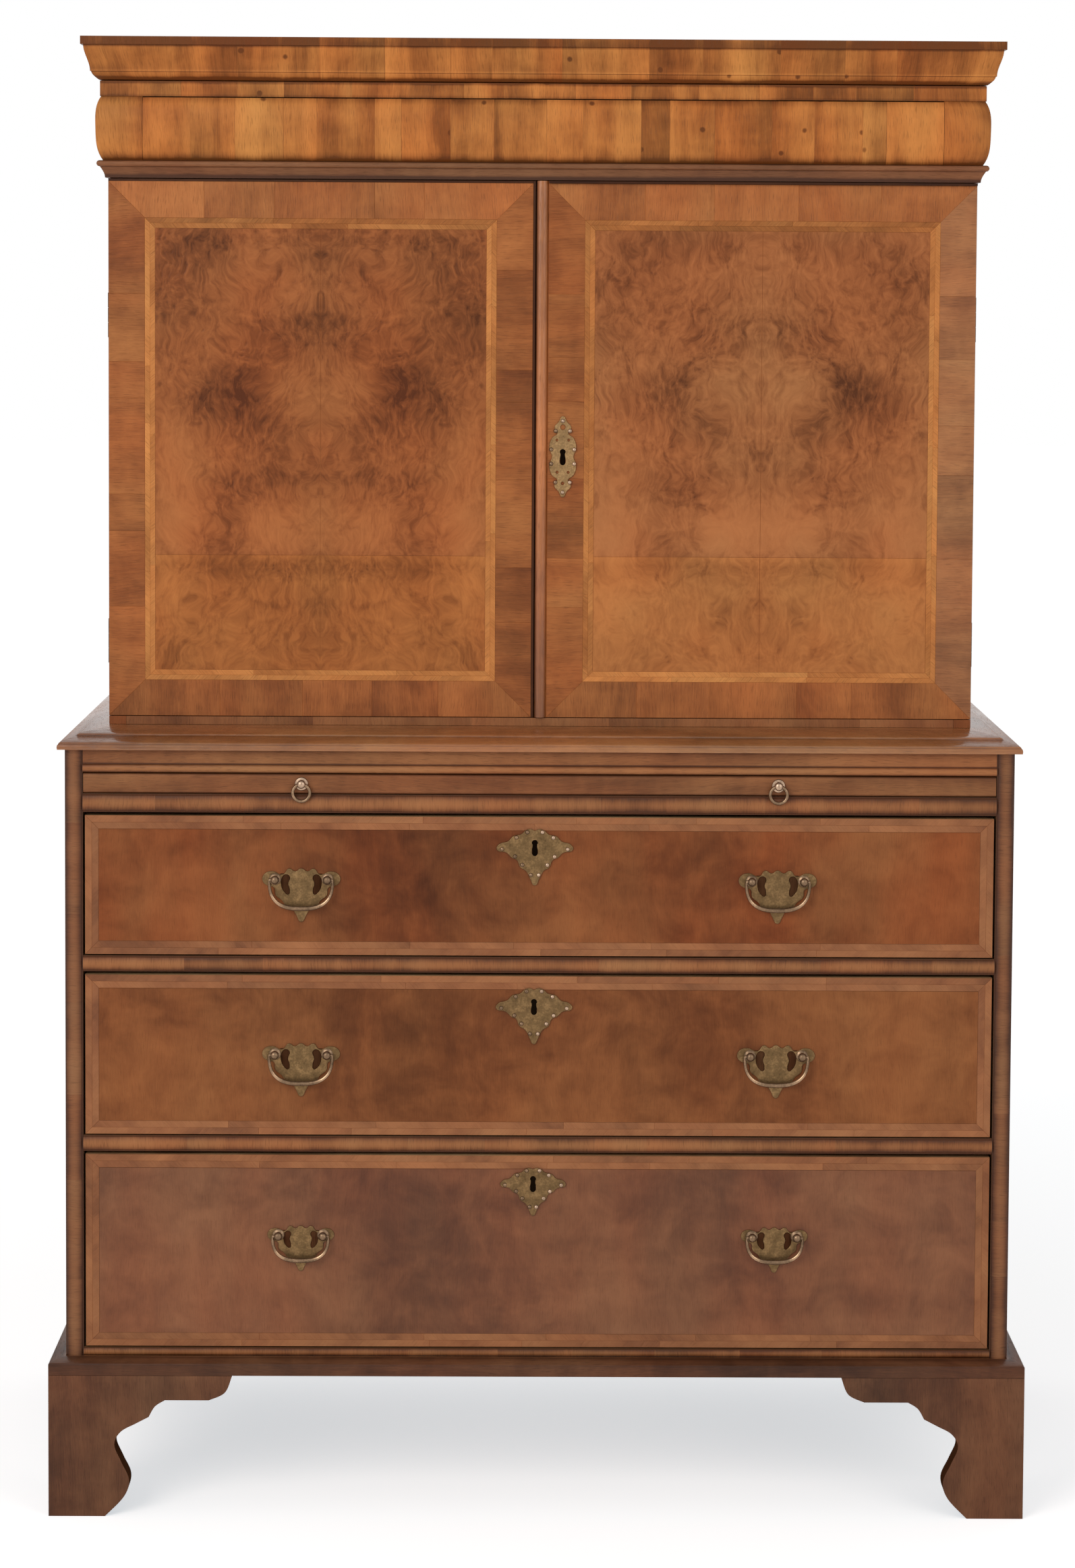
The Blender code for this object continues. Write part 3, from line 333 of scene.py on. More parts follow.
def timber(name, colour, cloud=0.6, streak=0.45, ripple=0.22, mottle=0.3, fibre=0.22, pore=0.30, knot=0.0, hue=0.6,
           rough=0.38, shine=0.13, axis=None, spread=(3.2, 9.0), grain=34.0, dark=0.34, light=1.55):
    """A timber with clouds, streaks, ripples across the grain, mottle, fibres, open pores and pin knots."""
    made = Finish(name)
    plain = grain_map(made, axis)
    drift = made.noise(plain, 2.6, 6.0, 2.0, out=1)
    place = made.vector("MULTIPLY_ADD", drift, (0.02, 0.040, 0.0), plain)
    clouds = made.noise(place, *spread, 3.0) - 0.5
    streaks = made.noise(place, 2.6, grain, 4.0, 0.60) - 0.5
    ripples = made.noise(place, 34.0, 12.0, 2.0) - 0.5
    curl = made.noise(plain, 9.0, 11.0, 2.0, out=1)
    bent = made.vector("MULTIPLY_ADD", curl, (0.06, 0.06, 0.0), plain)
    curls = made.noise(bent, 26.0, 34.0, 4.0, 0.6) - 0.5
    fibres = made.noise(place, 30.0, 760.0, 2.0) - 0.5
    pores = ((made.noise(place, 70.0, 1250.0, 1.0) - 0.61) * 9.0).held()
    value = 0.52 + clouds * cloud + streaks * streak + ripples * ripple + curls * mottle + fibres * fibre
    # The shade on the mesh adds painted shade and highlights on mouldings and beads, as well as clouds of figure and
    # wear on eased edges
    value = value + made.attribute("tone") * TONE_SHARE + made.attribute("shade") * SHADE_SHARE
    cells = made.node("ShaderNodeTexVoronoi", {"voronoi_dimensions": "2D"}, {"Vector": place, "Scale": 13.0})
    value = value - ((0.046 - cells) * 40.0).held() * knot
    base = made.node("ShaderNodeValToRGB", {"stops": shades(colour, dark, light)}, {0: value})
    ruddy = (made.noise(plain, 4.0, 10.0, 2.0) * 2.6 - 0.8).held() * hue
    base = made.mixed(ruddy, base, RUDDY, "MULTIPLY")
    base = made.mixed(pores * pore, base, (*(part * 0.22 for part in colour), 1.0))
    height = fibres * 0.5 + streaks * 0.4 - pores * 0.8
    bump = made.node("ShaderNodeBump", None, {"Strength": 0.30, "Distance": 0.0006, "Height": height})
    return made.surface(
        Base_Color=base,
        Roughness=(rough + clouds * 0.22 + pores * 0.18 - ripples * 0.10).held(0.15, 0.9),
        Normal=bump,
        Specular_IOR_Level=shine,
    )


def burr(name, colour, figure=1.0):
    """Burr walnut: a warped, swirling figure with flecks and dark eyes, in clouds painted on the mesh."""
    made = Finish(name)
    plain = grain_map(made, None)
    drift = made.noise(plain, 6.0, 7.0, 2.0, out=1)
    curl = made.noise(plain, 24.0, 26.0, 2.0, out=1)
    place = made.vector("MULTIPLY_ADD", drift, (0.07, 0.07, 0.0), plain)
    place = made.vector("MULTIPLY_ADD", curl, (0.030, 0.030, 0.0), place)
    swirl = made.noise(place, 10.0, 13.0, 4.0, 0.55) - 0.5
    flecks = made.noise(place, 74.0, 112.0, 4.0, 0.66) - 0.5
    hairs = made.noise(place, 45.0, 300.0, 2.0) - 0.5
    cells = made.node(
        "ShaderNodeTexVoronoi", {"voronoi_dimensions": "2D"}, {"Vector": place, "Scale": 105.0, "Randomness": 1.0}
    )
    paint = made.attribute("shade")
    knots = (made.noise(plain, 15.0, 16.0, 2.0) - 0.56) * 7.0
    eyes = ((0.26 - cells) * 6.0).held() * (knots - paint).held()
    whole = made.node("ShaderNodeTexCoord", None, None, "Object")
    patches = made.node("ShaderNodeTexNoise", None, {"Vector": whole, "Scale": 9.5, "Detail": 3.0}) - 0.5
    uneven = made.node("ShaderNodeTexNoise", None, {"Vector": whole, "Scale": 5.0, "Detail": 1.0}) - 0.5
    marks = ((made.noise(place, 24.0, 36.0, 3.0, 0.62) - 0.55) * 7.0).held()
    value = 0.55 + (swirl * 0.38 + flecks * 0.66 + patches * 0.42 + hairs * 0.25 - marks * 0.17) * figure
    value = value + made.attribute("tone") * TONE_SHARE + paint * (0.38 + uneven * 0.7 - flecks * 0.22) - eyes * 0.12
    base = made.node("ShaderNodeValToRGB", {"stops": shades(colour, 0.30, 1.50)}, {0: value})
    ruddy = (made.noise(plain, 6.0, 7.0, 3.0) * 2.6 - 0.8).held() * 0.6
    base = made.mixed(ruddy, base, RUDDY, "MULTIPLY")
    bump = made.node(
        "ShaderNodeBump", None, {"Strength": 0.28, "Distance": 0.0006, "Height": flecks * 0.5 + hairs * 0.5 - eyes}
    )
    return made.surface(
        Base_Color=base,
        Roughness=(0.38 + swirl * 0.20 + eyes * 0.15).held(0.15, 0.9),
        Normal=bump,
        Specular_IOR_Level=0.13,
    )


def metal(name, colour, rough, metallic):
    """Old metal: a mottled tarnish with fine scratches, with the painted shade at the plates' feet and the painted
    highlights of the bails.
    """
    made = Finish(name)
    place = made.node("ShaderNodeTexCoord", None, None, "Object")
    tarnish = made.node("ShaderNodeTexNoise", None, {"Vector": place, "Scale": 95.0, "Detail": 4.0}) - 0.5
    spots = made.node("ShaderNodeTexNoise", None, {"Vector": place, "Scale": 520.0, "Detail": 3.0}) - 0.5
    thin = made.vector("MULTIPLY", place, (900.0, 900.0, 5200.0))
    scratches = made.node("ShaderNodeTexNoise", None, {"Vector": thin, "Scale": 1.0, "Detail": 1.0}) - 0.5
    value = 0.52 + tarnish * 0.9 + spots * 0.7 + made.attribute("shade") * 0.5
    stops = (
        (0.10, tuple(part * 0.22 for part in colour)),
        (0.45, tuple(part * 0.80 for part in colour)),
        (0.62, tuple(colour)),
        (1.0, tuple(min(1.0, part * 1.9) for part in colour)),
    )
    base = made.node("ShaderNodeValToRGB", {"stops": stops}, {0: value})
    bump = made.node(
        "ShaderNodeBump", None, {"Strength": 0.35, "Distance": 0.0003, "Height": spots + scratches * 0.4}
    )
    return made.surface(
        Base_Color=base,
        Roughness=(rough - tarnish * 0.5 - made.attribute("shade") * 0.12).held(0.18, 0.9),
        Normal=bump,
        Metallic=metallic,
    )


# Finishes: the colour, how much of it is left, and what departs from the plain timber
FRONT = {
    "cloud": 0.40, "streak": 0.14, "ripple": 0.30, "mottle": 0.55, "fibre": 0.10, "pore": 0.14, "spread": (3.6, 3.0),
}
OAK = {"cloud": 0.6, "pore": 0.8, "rough": 0.62, "shine": 0.2, "dark": 0.5}
TIMBERS = {
    "crossband": ("crossband", 1.0, {"cloud": 0.55, "mottle": 0.4, "shine": 0.17}),
    "grey_crossband": ("grey_crossband", 1.0, {"cloud": 0.55, "mottle": 0.4, "shine": 0.3}),
    # Painted shadow in the gaps at the doors' heads and where they meet
    "dark_line": ("dark_line", 1.0, {}),
    "feather_band": ("feather", 1.0, {"cloud": 0.5, "streak": 0.22, "hue": 0.4}),
    "cornice_walnut": ("cornice", 1.0, {
        "cloud": 0.9, "streak": 0.95, "ripple": 0.30, "mottle": 0.4, "knot": 0.5, "hue": 0.8, "grain": 30.0,
        "spread": (3.2, 12.0),
    }),
    "meeting_bead": ("crossband", 1.0, {"cloud": 0.9, "streak": 0.5, "light": 1.9, "shine": 0.5}),
    "drawer_upper": ("drawer", 1.0, {"hue": 0.85, **FRONT}),
    "drawer_middle": ("drawer_middle", 1.0, {"hue": 0.3, **FRONT}),
    "drawer_lower": ("drawer_low", 1.0, {"shine": 0.28, **FRONT}),
    "drawer_band": ("drawer_band", 1.0, {
        "cloud": 0.8, "streak": 0.30, "mottle": 0.5, "fibre": 0.10, "pore": 0.14, "hue": 0.3, "shine": 0.24,
    }),
    "rail_walnut": ("rail", 1.0, {"cloud": 0.8, "streak": 0.5, "shine": 0.2}),
    "waist_walnut": ("waist", 1.0, {"cloud": 0.7, "streak": 0.5, "rough": 0.20, "shine": 0.46}),
    "stile_walnut": ("stile", 1.0, {"cloud": 0.7, "streak": 0.5, "shine": 0.22}),
    "plinth_walnut": ("plinth", 1.0, {"cloud": 0.8, "mottle": 0.5, "shine": 0.21}),
    "sawn_edge": ("plinth", 0.5, {"shine": 0.0}),
    "side_walnut": ("side", 1.0, {"cloud": 0.7, "streak": 0.7, "ripple": 0.4}),
    "case_core": ("side", 1.0, {"axis": UP}),
    "door_core": ("crossband", 1.0, {"axis": UP}),
    "oak_lining": ("oak", 1.0, {"streak": 0.9, **OAK}),
    "oak_board": ("oak", 1.0, {"axis": RIGHT, **OAK}),
    "deal_board": ("deal", 1.0, {
        "cloud": 0.7, "streak": 1.5, "pore": 0.2, "rough": 0.70, "shine": 0.15, "dark": 0.45,
    }),
    # Near black, painted as the shadow inside the keyholes
    "keyhole_dark": ("keyhole", 1.0, {"shine": 0.0}),
}

# Burr veneers: the colour and how much of the figure shows
BURRS = {
    "burr_left": ("burr", 1.0),
    "burr_right": ("faded_burr", 1.0),
    "panel_foot_left": ("figured", 0.8),
    "panel_foot_right": ("faded_figured", 0.8),
}

# Metals: the colour, how much of it is left, the roughness and how metallic it is
METALS = {
    "worn_brass": ("brass", 1.0, 0.46, 1.0),
    "rubbed_brass": ("rubbed_brass", 1.0, 0.36, 1.0),
    "pale_brass": ("brass", 1.65, 0.40, 1.0),
    "bright_brass": ("bright_brass", 1.0, 0.30, 1.0),
    "dull_brass": ("brass", 0.35, 0.65, 0.5),
    "nail_iron": ("iron", 1.0, 0.6, 0.7),
}


def make_look(name):
    """The material of a name, made from the colours that are set."""
    colours = bpy.context.scene.cabinet_colours
    if name in BURRS:
        colour, figure = BURRS[name]
        return burr(name, getattr(colours, colour), figure)
    colour, share, *settings = TIMBERS.get(name) or METALS[name]
    colour = tuple(part * share for part in getattr(colours, colour))
    return timber(name, colour, **settings[0]) if name in TIMBERS else metal(name, colour, *settings)


def look(name):
    """The material of a name, made once."""
    return bpy.data.materials.get(name) or make_look(name)


# Mesh work

Leaf = namedtuple("Leaf", "finish along across tone shift")
Station = namedtuple("Station", "place u v reach")


def outline_normal(points):
    """The unit normal of a flat outline."""
    total = Vector()
    for first, second in zip(points, points[1:] + points[:1]):
        total += first.cross(second)
    return total.normalized()


def shrunk(points, normal, inset):
    """A convex outline with its edges moved in."""
    if not inset:
        return list(points)
    found = []
    for before, here, after in zip(points[-1:] + points[:-1], points, points[1:] + points[:1]):
        first = normal.cross((here - before).normalized())
        second = normal.cross((after - here).normalized())
        found.append(here + (first + second) * (inset / (1.0 + first.dot(second))))
    return found


def hollow_shade_and_crest_wear(profile):
    """A value for each corner of a closed profile: painted shade in the hollows, below 0, and wear with a painted
    highlight on the crests.
    """
    area = sum(a[0] * b[1] - b[0] * a[1] for a, b in zip(profile, profile[1:] + profile[:1]))
    found = []
    for before, here, after in zip(profile[-1:] + profile[:-1], profile, profile[1:] + profile[:1]):
        first = math.atan2(here[1] - before[1], here[0] - before[0])
        second = math.atan2(after[1] - here[1], after[0] - here[0])
        turn = math.remainder(second - first, math.tau) * math.copysign(1.0, area)
        share = max(-1.0, min(1.0, turn / math.radians(70)))
        found.append(0.35 * share if share > 0 else 1.1 * share)
    return found


def clouded(clouds, across, height):
    """The shade that a table of clouds gives at a place; dark is below 0."""
    total = 0.0
    for at, level, wide, tall, depth in clouds:
        total -= depth * math.exp(-((across - at) / wide) ** 2 - ((height - level) / tall) ** 2)
    return total


def stations(points, cuts):
    """Cross sections along a path in plan, mitred at its corners and cut into leaves along each run."""
    points = [Vector((*point, 0.0)) for point in points]
    ways = [(b - a).normalized() for a, b in zip(points, points[1:])]
    outs = [Vector((way.y, -way.x, 0.0)) for way in ways]
    found = []
    reach = 0.0
    for index, way in enumerate(ways):
        span = (points[index + 1] - points[index]).length
        corner = outs[index] if index == 0 else outs[index - 1] + outs[index]
        found.append(Station(points[index], corner, UP, reach))
        for cut in cuts[index]:
            for edge in (cut - JOINT, cut + JOINT):
                found.append(Station(points[index] + way * edge, outs[index], UP, reach + edge))
        reach += span
    found.append(Station(points[-1], outs[-1], UP, reach))
    return found


def straight(start, end, u, v, cuts=()):
    """Cross sections along a straight line, cut into leaves."""
    start = Vector(start)
    way = Vector(end) - start
    marks = [0.0] + [cut + side for cut in cuts for side in (-JOINT, JOINT)] + [way.length]
    return [Station(start + way.normalized() * mark, Vector(u), Vector(v), mark) for mark in marks]


def around(half, front, cuts):
    """Cross sections along both sides and the front of a case."""
    return stations([(-half, BACK), (-half, front), (half, front), (half, BACK)], cuts)


def level_run(low, high, cuts=()):
    """Cross sections from left to right of a box, for profiles of (depth, height)."""
    return straight((low.x, 0.0, 0.0), (high.x, 0.0, 0.0), REARWARD, UP, cuts)


def upright_run(low, high, cuts=()):
    """Cross sections from foot to head of a box, for profiles of (across, depth)."""
    return straight((0.0, 0.0, low.z), (0.0, 0.0, high.z), RIGHT, REARWARD, cuts)


class Shape:
    """A mesh in the making: each face has a finish, a grain map in metres and a tone, each corner a shade."""

    def __init__(self, seed):
        self.mesh = bmesh.new()
        self.grain = self.mesh.loops.layers.uv.new("grain")
        self.tone = self.mesh.faces.layers.float.new("tone")
        self.shade = self.mesh.verts.layers.float.new("shade")
        self.random = random.Random(seed)
        self.finishes = []

    def vert(self, place, shade=0.0):
        """A corner with a shade."""
        made = self.mesh.verts.new(place)
        made[self.shade] = shade
        return made

    def put(self, corners, finish, tone, marks):
        """A face with its finish, tone and grain map."""
        made = self.mesh.faces.new(corners)
        if finish not in self.finishes:
            self.finishes.append(finish)
        made.material_index = self.finishes.index(finish)
        made[self.tone] = tone
        for loop, mark in zip(made.loops, marks):
            loop[self.grain].uv = mark
        return made

    def shift(self):
        """A chance place on the grain map."""
        return (self.random.uniform(0.0, GRAIN_SPAN), self.random.uniform(0.0, GRAIN_SPAN))

    def leaf(self, finish, along, facing, spread=0.25, tone=0.0):
        """A leaf of timber with its grain along a direction, its own tone and its own place in the figure."""
        along = Vector(along).normalized()
        facing = Vector(facing)
        across = facing.cross(along) + facing
        return Leaf(finish, along, across, tone + self.random.uniform(-spread, spread), self.shift())

    def face(self, corners, leaf):
        """A face of a leaf; end grain is darker."""
        marks = []
        for corner in corners:
            u = corner.co.dot(leaf.along) + leaf.shift[0]
            marks.append((u, corner.co.dot(leaf.across) + leaf.shift[1]))
        normal = outline_normal([corner.co for corner in corners])
        ends = abs(normal.dot(leaf.along)) > 0.7
        return self.put(corners, leaf.finish, leaf.tone - (END_GRAIN if ends else 0.0), marks)

    def rings(self, rings, leaf, rim=None):
        """Faces between rings of corners, of the leaf of the rim if one is given, closed at both ends."""
        for first, second in zip(rings, rings[1:]):
            for index in range(len(first)):
                after = (index + 1) % len(first)
                self.face([first[index], first[after], second[after], second[index]], rim or leaf)
        self.face(rings[0][::-1], leaf)
        self.face(rings[-1], leaf)

    def prism(self, outline, depth, leaf, ease, edge=0.15, floor=0.0):
        """A board or leaf under a convex outline, with eased edges."""
        points = [Vector(point) for point in outline]
        up = outline_normal(points)
        rings = []
        for inset, down, shade in (
            (ease, 0.0, 0.0), (0.0, ease, edge), (0.0, depth - ease, floor), (ease, depth, floor)
        ):
            rings.append([self.vert(point - up * down, shade) for point in shrunk(points, up, inset)])
        self.rings(rings, leaf)

    def veneer(self, outline, leaf):
        """A thin leaf whose outer face is the outline; its edges make dark joints."""
        self.prism(outline, VENEER, leaf, JOINT, -0.2, -0.5)

    def plank(self, low, high, along, finish, ease=0.0012, spread=0.25, tone=0.0):
        """A board between two corners, with its grain along an axis."""
        low, high = Vector(low), Vector(high)
        size = high - low
        thin = min(range(3), key=lambda index: size[index])
        a, b = (thin + 1) % 3, (thin + 2) % 3
        outline = []
        for first, second in ((low, low), (high, low), (high, high), (low, high)):
            corner = Vector(high)
            corner[a] = first[a]
            corner[b] = second[b]
            outline.append(corner)
        facing = Vector([1.0 if index == thin else 0.0 for index in range(3)])
        self.prism(outline, size[thin], self.leaf(finish, along, facing, spread, tone), ease)

    def sheet(self, corner, right, up, leaf, shade, cell=CLOUD_CELL):
        """A veneer leaf with a shade painted over it; its outer face is the rectangle."""
        corner, right, up = Vector(corner), Vector(right), Vector(up)
        normal = right.cross(up).normalized()
        wide = max(1, math.ceil(right.length / cell))
        tall = max(1, math.ceil(up.length / cell))

        def place(column, row, inset):
            across = inset + (right.length - 2 * inset) * column / wide
            height = inset + (up.length - 2 * inset) * row / tall
            return corner + right.normalized() * across + up.normalized() * height

        grid = {}
        for column in range(wide + 1):
            for row in range(tall + 1):
                at = place(column, row, JOINT)
                grid[column, row] = self.vert(at, shade(at))
        for column in range(wide):
            for row in range(tall):
                cell_corners = [(column, row), (column + 1, row), (column + 1, row + 1), (column, row + 1)]
                self.face([grid[key] for key in cell_corners], leaf)
        rim = [(column, 0) for column in range(wide)] + [(wide, row) for row in range(tall)]
        rim += [(column, tall) for column in range(wide, 0, -1)] + [(0, row) for row in range(tall, 0, -1)]
        lower = {key: self.vert(place(*key, 0.0) - normal * VENEER, -1.0) for key in rim}
        for first, second in zip(rim, rim[1:] + rim[:1]):
            self.face([grid[first], lower[first], lower[second], grid[second]], leaf)
        self.face([lower[key] for key in rim[::-1]], leaf)

    def sweep(self, profile, looks, path, spread=0.25, tone=0.0):
        """A moulding: a closed profile run along stations, whose corners may each add a shade. The looks are one for
        all the edges or one for each: a finish, and whether its grain runs across the moulding, in which case the leaf
        changes between stations."""
        looks = [looks] * len(profile) if isinstance(looks, tuple) else looks
        edges = list(zip(profile, profile[1:] + profile[:1]))
        arcs = [0.0]
        for first, second in edges:
            arcs.append(arcs[-1] + math.dist(first[:2], second[:2]))
        # Each corner's painted shade and highlight from its turn, plus any painted shade its profile point adds
        rims = [rim + sum(point[2:]) for rim, point in zip(hollow_shade_and_crest_wear(profile), profile)]
        rings = []
        for spot in path:
            ring = []
            for (a, b, *_), rim in zip(profile, rims):
                ring.append(self.vert(spot.place + spot.u * a + spot.v * b, rim))
            rings.append(ring)
        steady = self.shift()
        for index, (near, far) in enumerate(zip(path, path[1:])):
            joint = far.reach - near.reach < 3 * JOINT
            own_tone = JOINT_TONE if joint else tone + self.random.uniform(-spread, spread)
            own = self.shift()
            for side, (finish, cross) in enumerate(looks):
                after = (side + 1) % len(profile)
                corners = [rings[index][side], rings[index][after], rings[index + 1][after], rings[index + 1][side]]
                marks = []
                for arc, reach in (
                    (arcs[side], near.reach), (arcs[side + 1], near.reach),
                    (arcs[side + 1], far.reach), (arcs[side], far.reach),
                ):
                    shift = own if cross else steady
                    first, second = (arc, reach) if cross else (reach, arc)
                    marks.append((first + shift[0], second + shift[1]))
                self.put(corners, finish, own_tone if cross else tone, marks)
        for ring in (rings[0], rings[-1]):
            self.put(ring, looks[0][0], tone - END_GRAIN, [point[:2] for point in profile])

    def cuts(self, span, step):
        """Places to cut a run into leaves of about a length."""
        count, wobble = max(1, round(span / step)), 0.28
        return [span * (index + self.random.uniform(-wobble, wobble)) / count for index in range(1, count)]

    def lathe(self, centre, axis, profile, sides, leaf):
        """A turned piece: (radius, height) points about an axis."""
        axis = Vector(axis).normalized()
        side = axis.orthogonal().normalized()
        other = axis.cross(side)
        rings = []
        for radius, height in profile:
            ring = []
            for step in range(sides):
                angle = math.tau * step / sides
                spoke = side * math.cos(angle) + other * math.sin(angle)
                ring.append(self.vert(Vector(centre) + axis * height + spoke * radius))
            rings.append(ring)
        self.rings(rings, leaf)

    def tube(self, points, radii, worn, flat, sides, leaf, closed=False):
        """A wire of changing thickness and shade along points that lie in a plane square to flat."""
        points = [Vector(point) for point in points]
        rings = []
        count = len(points)
        for index, (point, radius, shade) in enumerate(zip(points, radii, worn)):
            before = points[index - 1] if closed or index else point
            after = points[(index + 1) % count] if closed or index + 1 < count else point
            side = flat.cross((after - before).normalized())
            ring = []
            for step in range(sides):
                angle = math.tau * step / sides
                ring.append(self.vert(point + (side * math.cos(angle) + flat * math.sin(angle)) * radius, shade))
            rings.append(ring)
        if not closed:
            self.rings(rings, leaf)
            return
        for first, second in zip(rings, rings[1:] + rings[:1]):
            for index in range(sides):
                after = (index + 1) % sides
                self.face([first[index], first[after], second[after], second[index]], leaf)

    def take(self, mesh, finish, shade):
        """Adds a finished mesh in one finish; shade gives a corner's shade from its place."""
        known = len(self.mesh.faces)
        corners = len(self.mesh.verts)
        self.mesh.from_mesh(mesh)
        self.mesh.verts.ensure_lookup_table()
        self.mesh.faces.ensure_lookup_table()
        if finish not in self.finishes:
            self.finishes.append(finish)
        for made in self.mesh.faces[known:]:
            made.material_index = self.finishes.index(finish)
        for made in self.mesh.verts[corners:]:
            made[self.shade] = shade(made.co)
        bpy.data.meshes.remove(mesh)

    def piece(self, name, body, slot, *nodes, turned=SMOOTH_ANGLE):
        """The finished object, riding on a body in place of nodes of the frame."""
        bmesh.ops.recalc_face_normals(self.mesh, faces=self.mesh.faces)
        mesh = bpy.data.meshes.new(name)
        self.mesh.to_mesh(mesh)
        self.mesh.free()
        for finish in self.finishes:
            mesh.materials.append(look(finish))
        mesh.shade_smooth()
        mesh.set_sharp_from_angle(angle=turned)
        made = bpy.data.objects.new(name, mesh)
        bpy.context.scene.collection.objects.link(made)
        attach(made, body)
        if nodes:
            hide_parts(*nodes)
        return made


def dress(node, finish):
    """A procedural material on a solid of the frame that stays in view."""
    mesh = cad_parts[node].data
    mesh.materials.clear()
    mesh.materials.append(look(finish))


# Profiles

def arc(centre, radii, first, last, steps=CURVE_STEPS):
    """Points of an elliptical arc, in degrees."""
    found = []
    for step in range(steps + 1):
        angle = math.radians(first + (last - first) * step / steps)
        found.append((centre[0] + radii[0] * math.cos(angle), centre[1] + radii[1] * math.sin(angle)))
    return found


def ease(start, end, shape):
    """Points of a moulding's curve between two corners."""
    turns = {
        "cavetto": lambda share: 1 - math.cos(share * math.pi / 2),
        "ovolo": lambda share: math.sin(share * math.pi / 2),
        "cyma": lambda share: (1 - math.cos(share * math.pi)) / 2,
    }
    found = []
    for step in range(CURVE_STEPS + 1):
        share = step / CURVE_STEPS
        found.append((start[0] + (end[0] - start[0]) * turns[shape](share), start[1] + (end[1] - start[1]) * share))
    return found


def with_painted_shade(points, *shades_added):
    """The points, the first few of them with a painted shade added."""
    return [(*point, shade) for point, shade in zip(points, shades_added)] + points[len(shades_added):]


def cushion(share):
    """How far the cushion stands out at a share of its height."""
    foot, swell, head = 0.005, 0.0125, 0.0066
    return foot + (head - foot) * share + (swell - (foot + head) / 2) * (1 - abs(2 * share - 1) ** 3.5)


def cushion_line(low, high):
    """Points of the cushion between two heights over the frieze's floor."""
    tall = FRIEZE_HEAD - FRIEZE_FLOOR
    steps = 2 * CURVE_STEPS
    heights = [low + (high - low) * step / steps for step in range(steps + 1)]
    line = [(cushion(height / tall), FRIEZE_FLOOR + height) for height in heights]
    # Painted shade along the cushion's foot over the astragal and, lighter, at its head under the band
    return with_painted_shade(with_painted_shade(line, -1.9, -0.7, -0.2)[::-1], -0.9, -0.3)[::-1]


def broad_bead(start, width):
    """A bead over a whole edge with a quirk at each side, the quirks painted dark as shade: (along, depth, shade),
    forward below 0.
    """
    rim = [(start, 0.0, -1.2), (start + width, 0.0, -1.2)]
    return rim[:1] + bead(start + BEAD_QUIRK, width - 2 * BEAD_QUIRK) + rim[1:]


def bead(start, width):
    """A half-round bead, with painted shade at its feet and a painted highlight on its crest: (along, depth, shade)."""
    line = arc((start + width / 2, 0.0), (width / 2, -BEAD_RISE), 180, 0)
    return [(along, depth, -1.1 + 1.9 * math.sin(math.pi * (along - start) / width)) for along, depth in line]


# Veneered faces that look forward

def band(shape, outer, inner, level, runs, step, slants, spread):
    """A mitred band between two rectangles, (x0, z0, x1, z1) each, cut into leaves. The runs, a finish and a tone
    each, are the foot, the right, the head and the left; their grain is turned from them by slants degrees."""
    ends = (
        ((outer[0], outer[1]), (outer[2], outer[1]), (inner[0], inner[1]), (inner[2], inner[1])),
        ((outer[2], outer[1]), (outer[2], outer[3]), (inner[2], inner[1]), (inner[2], inner[3])),
        ((outer[2], outer[3]), (outer[0], outer[3]), (inner[2], inner[3]), (inner[0], inner[3])),
        ((outer[0], outer[3]), (outer[0], outer[1]), (inner[0], inner[3]), (inner[0], inner[1])),
    )
    for points, (finish, tone) in zip(ends, runs):
        a, b, c, d = (Vector((point[0], level, point[1])) for point in points)
        way = (b - a).normalized()
        grain = Matrix.Rotation(math.radians(slants), 3, FORWARD) @ way
        marks = shape.cuts((d - c).length, step)
        lower = [a] + [c + way * mark + (a - c) - way * (a - c).dot(way) for mark in marks] + [b]
        upper = [c] + [c + way * mark for mark in marks] + [d]
        for index in range(len(lower) - 1):
            corners = [lower[index], lower[index + 1], upper[index + 1], upper[index]]
            shape.veneer(corners, shape.leaf(finish, grain, FORWARD, spread, tone))


def inset(box, width):
    """A rectangle (x0, z0, x1, z1) with its sides moved in."""
    return (box[0] + width, box[1] + width, box[2] - width, box[3] - width)


def feather(shape, outer, width, level, finish, step, tones):
    """A feather band: two strips whose grain slants opposite ways. Returns the rectangle inside it."""
    middle = inset(outer, width / 2)
    inner = inset(outer, width)
    runs = [(finish, tone) for tone in tones]
    band(shape, outer, middle, level, runs, step, FEATHER_SLANT, spread=0.22)
    band(shape, middle, inner, level, runs, step, -FEATHER_SLANT, spread=0.22)
    return inner


def matched(shape, box, joint, level, leaf, shade):
    """A pair of leaves that open like a book about an upright joint."""
    for low, high, side in ((box[0], joint, -1), (joint, box[2], 1)):
        shift = (leaf.shift[0], leaf.shift[1] - side * joint)
        one = leaf._replace(across=RIGHT * side + FORWARD, shift=shift)
        shape.sheet((low, level, box[1]), (high - low, 0.0, 0.0), (0.0, 0.0, box[3] - box[1]), one, shade)


# Operators

class CabinetOperator:
    """Settings that every operator shares."""

    bl_options = {"REGISTER", "UNDO"}

    def execute(self, context):
        """Makes the pieces."""
        self.make(context.scene.cabinet_sizes)
        return {"FINISHED"}


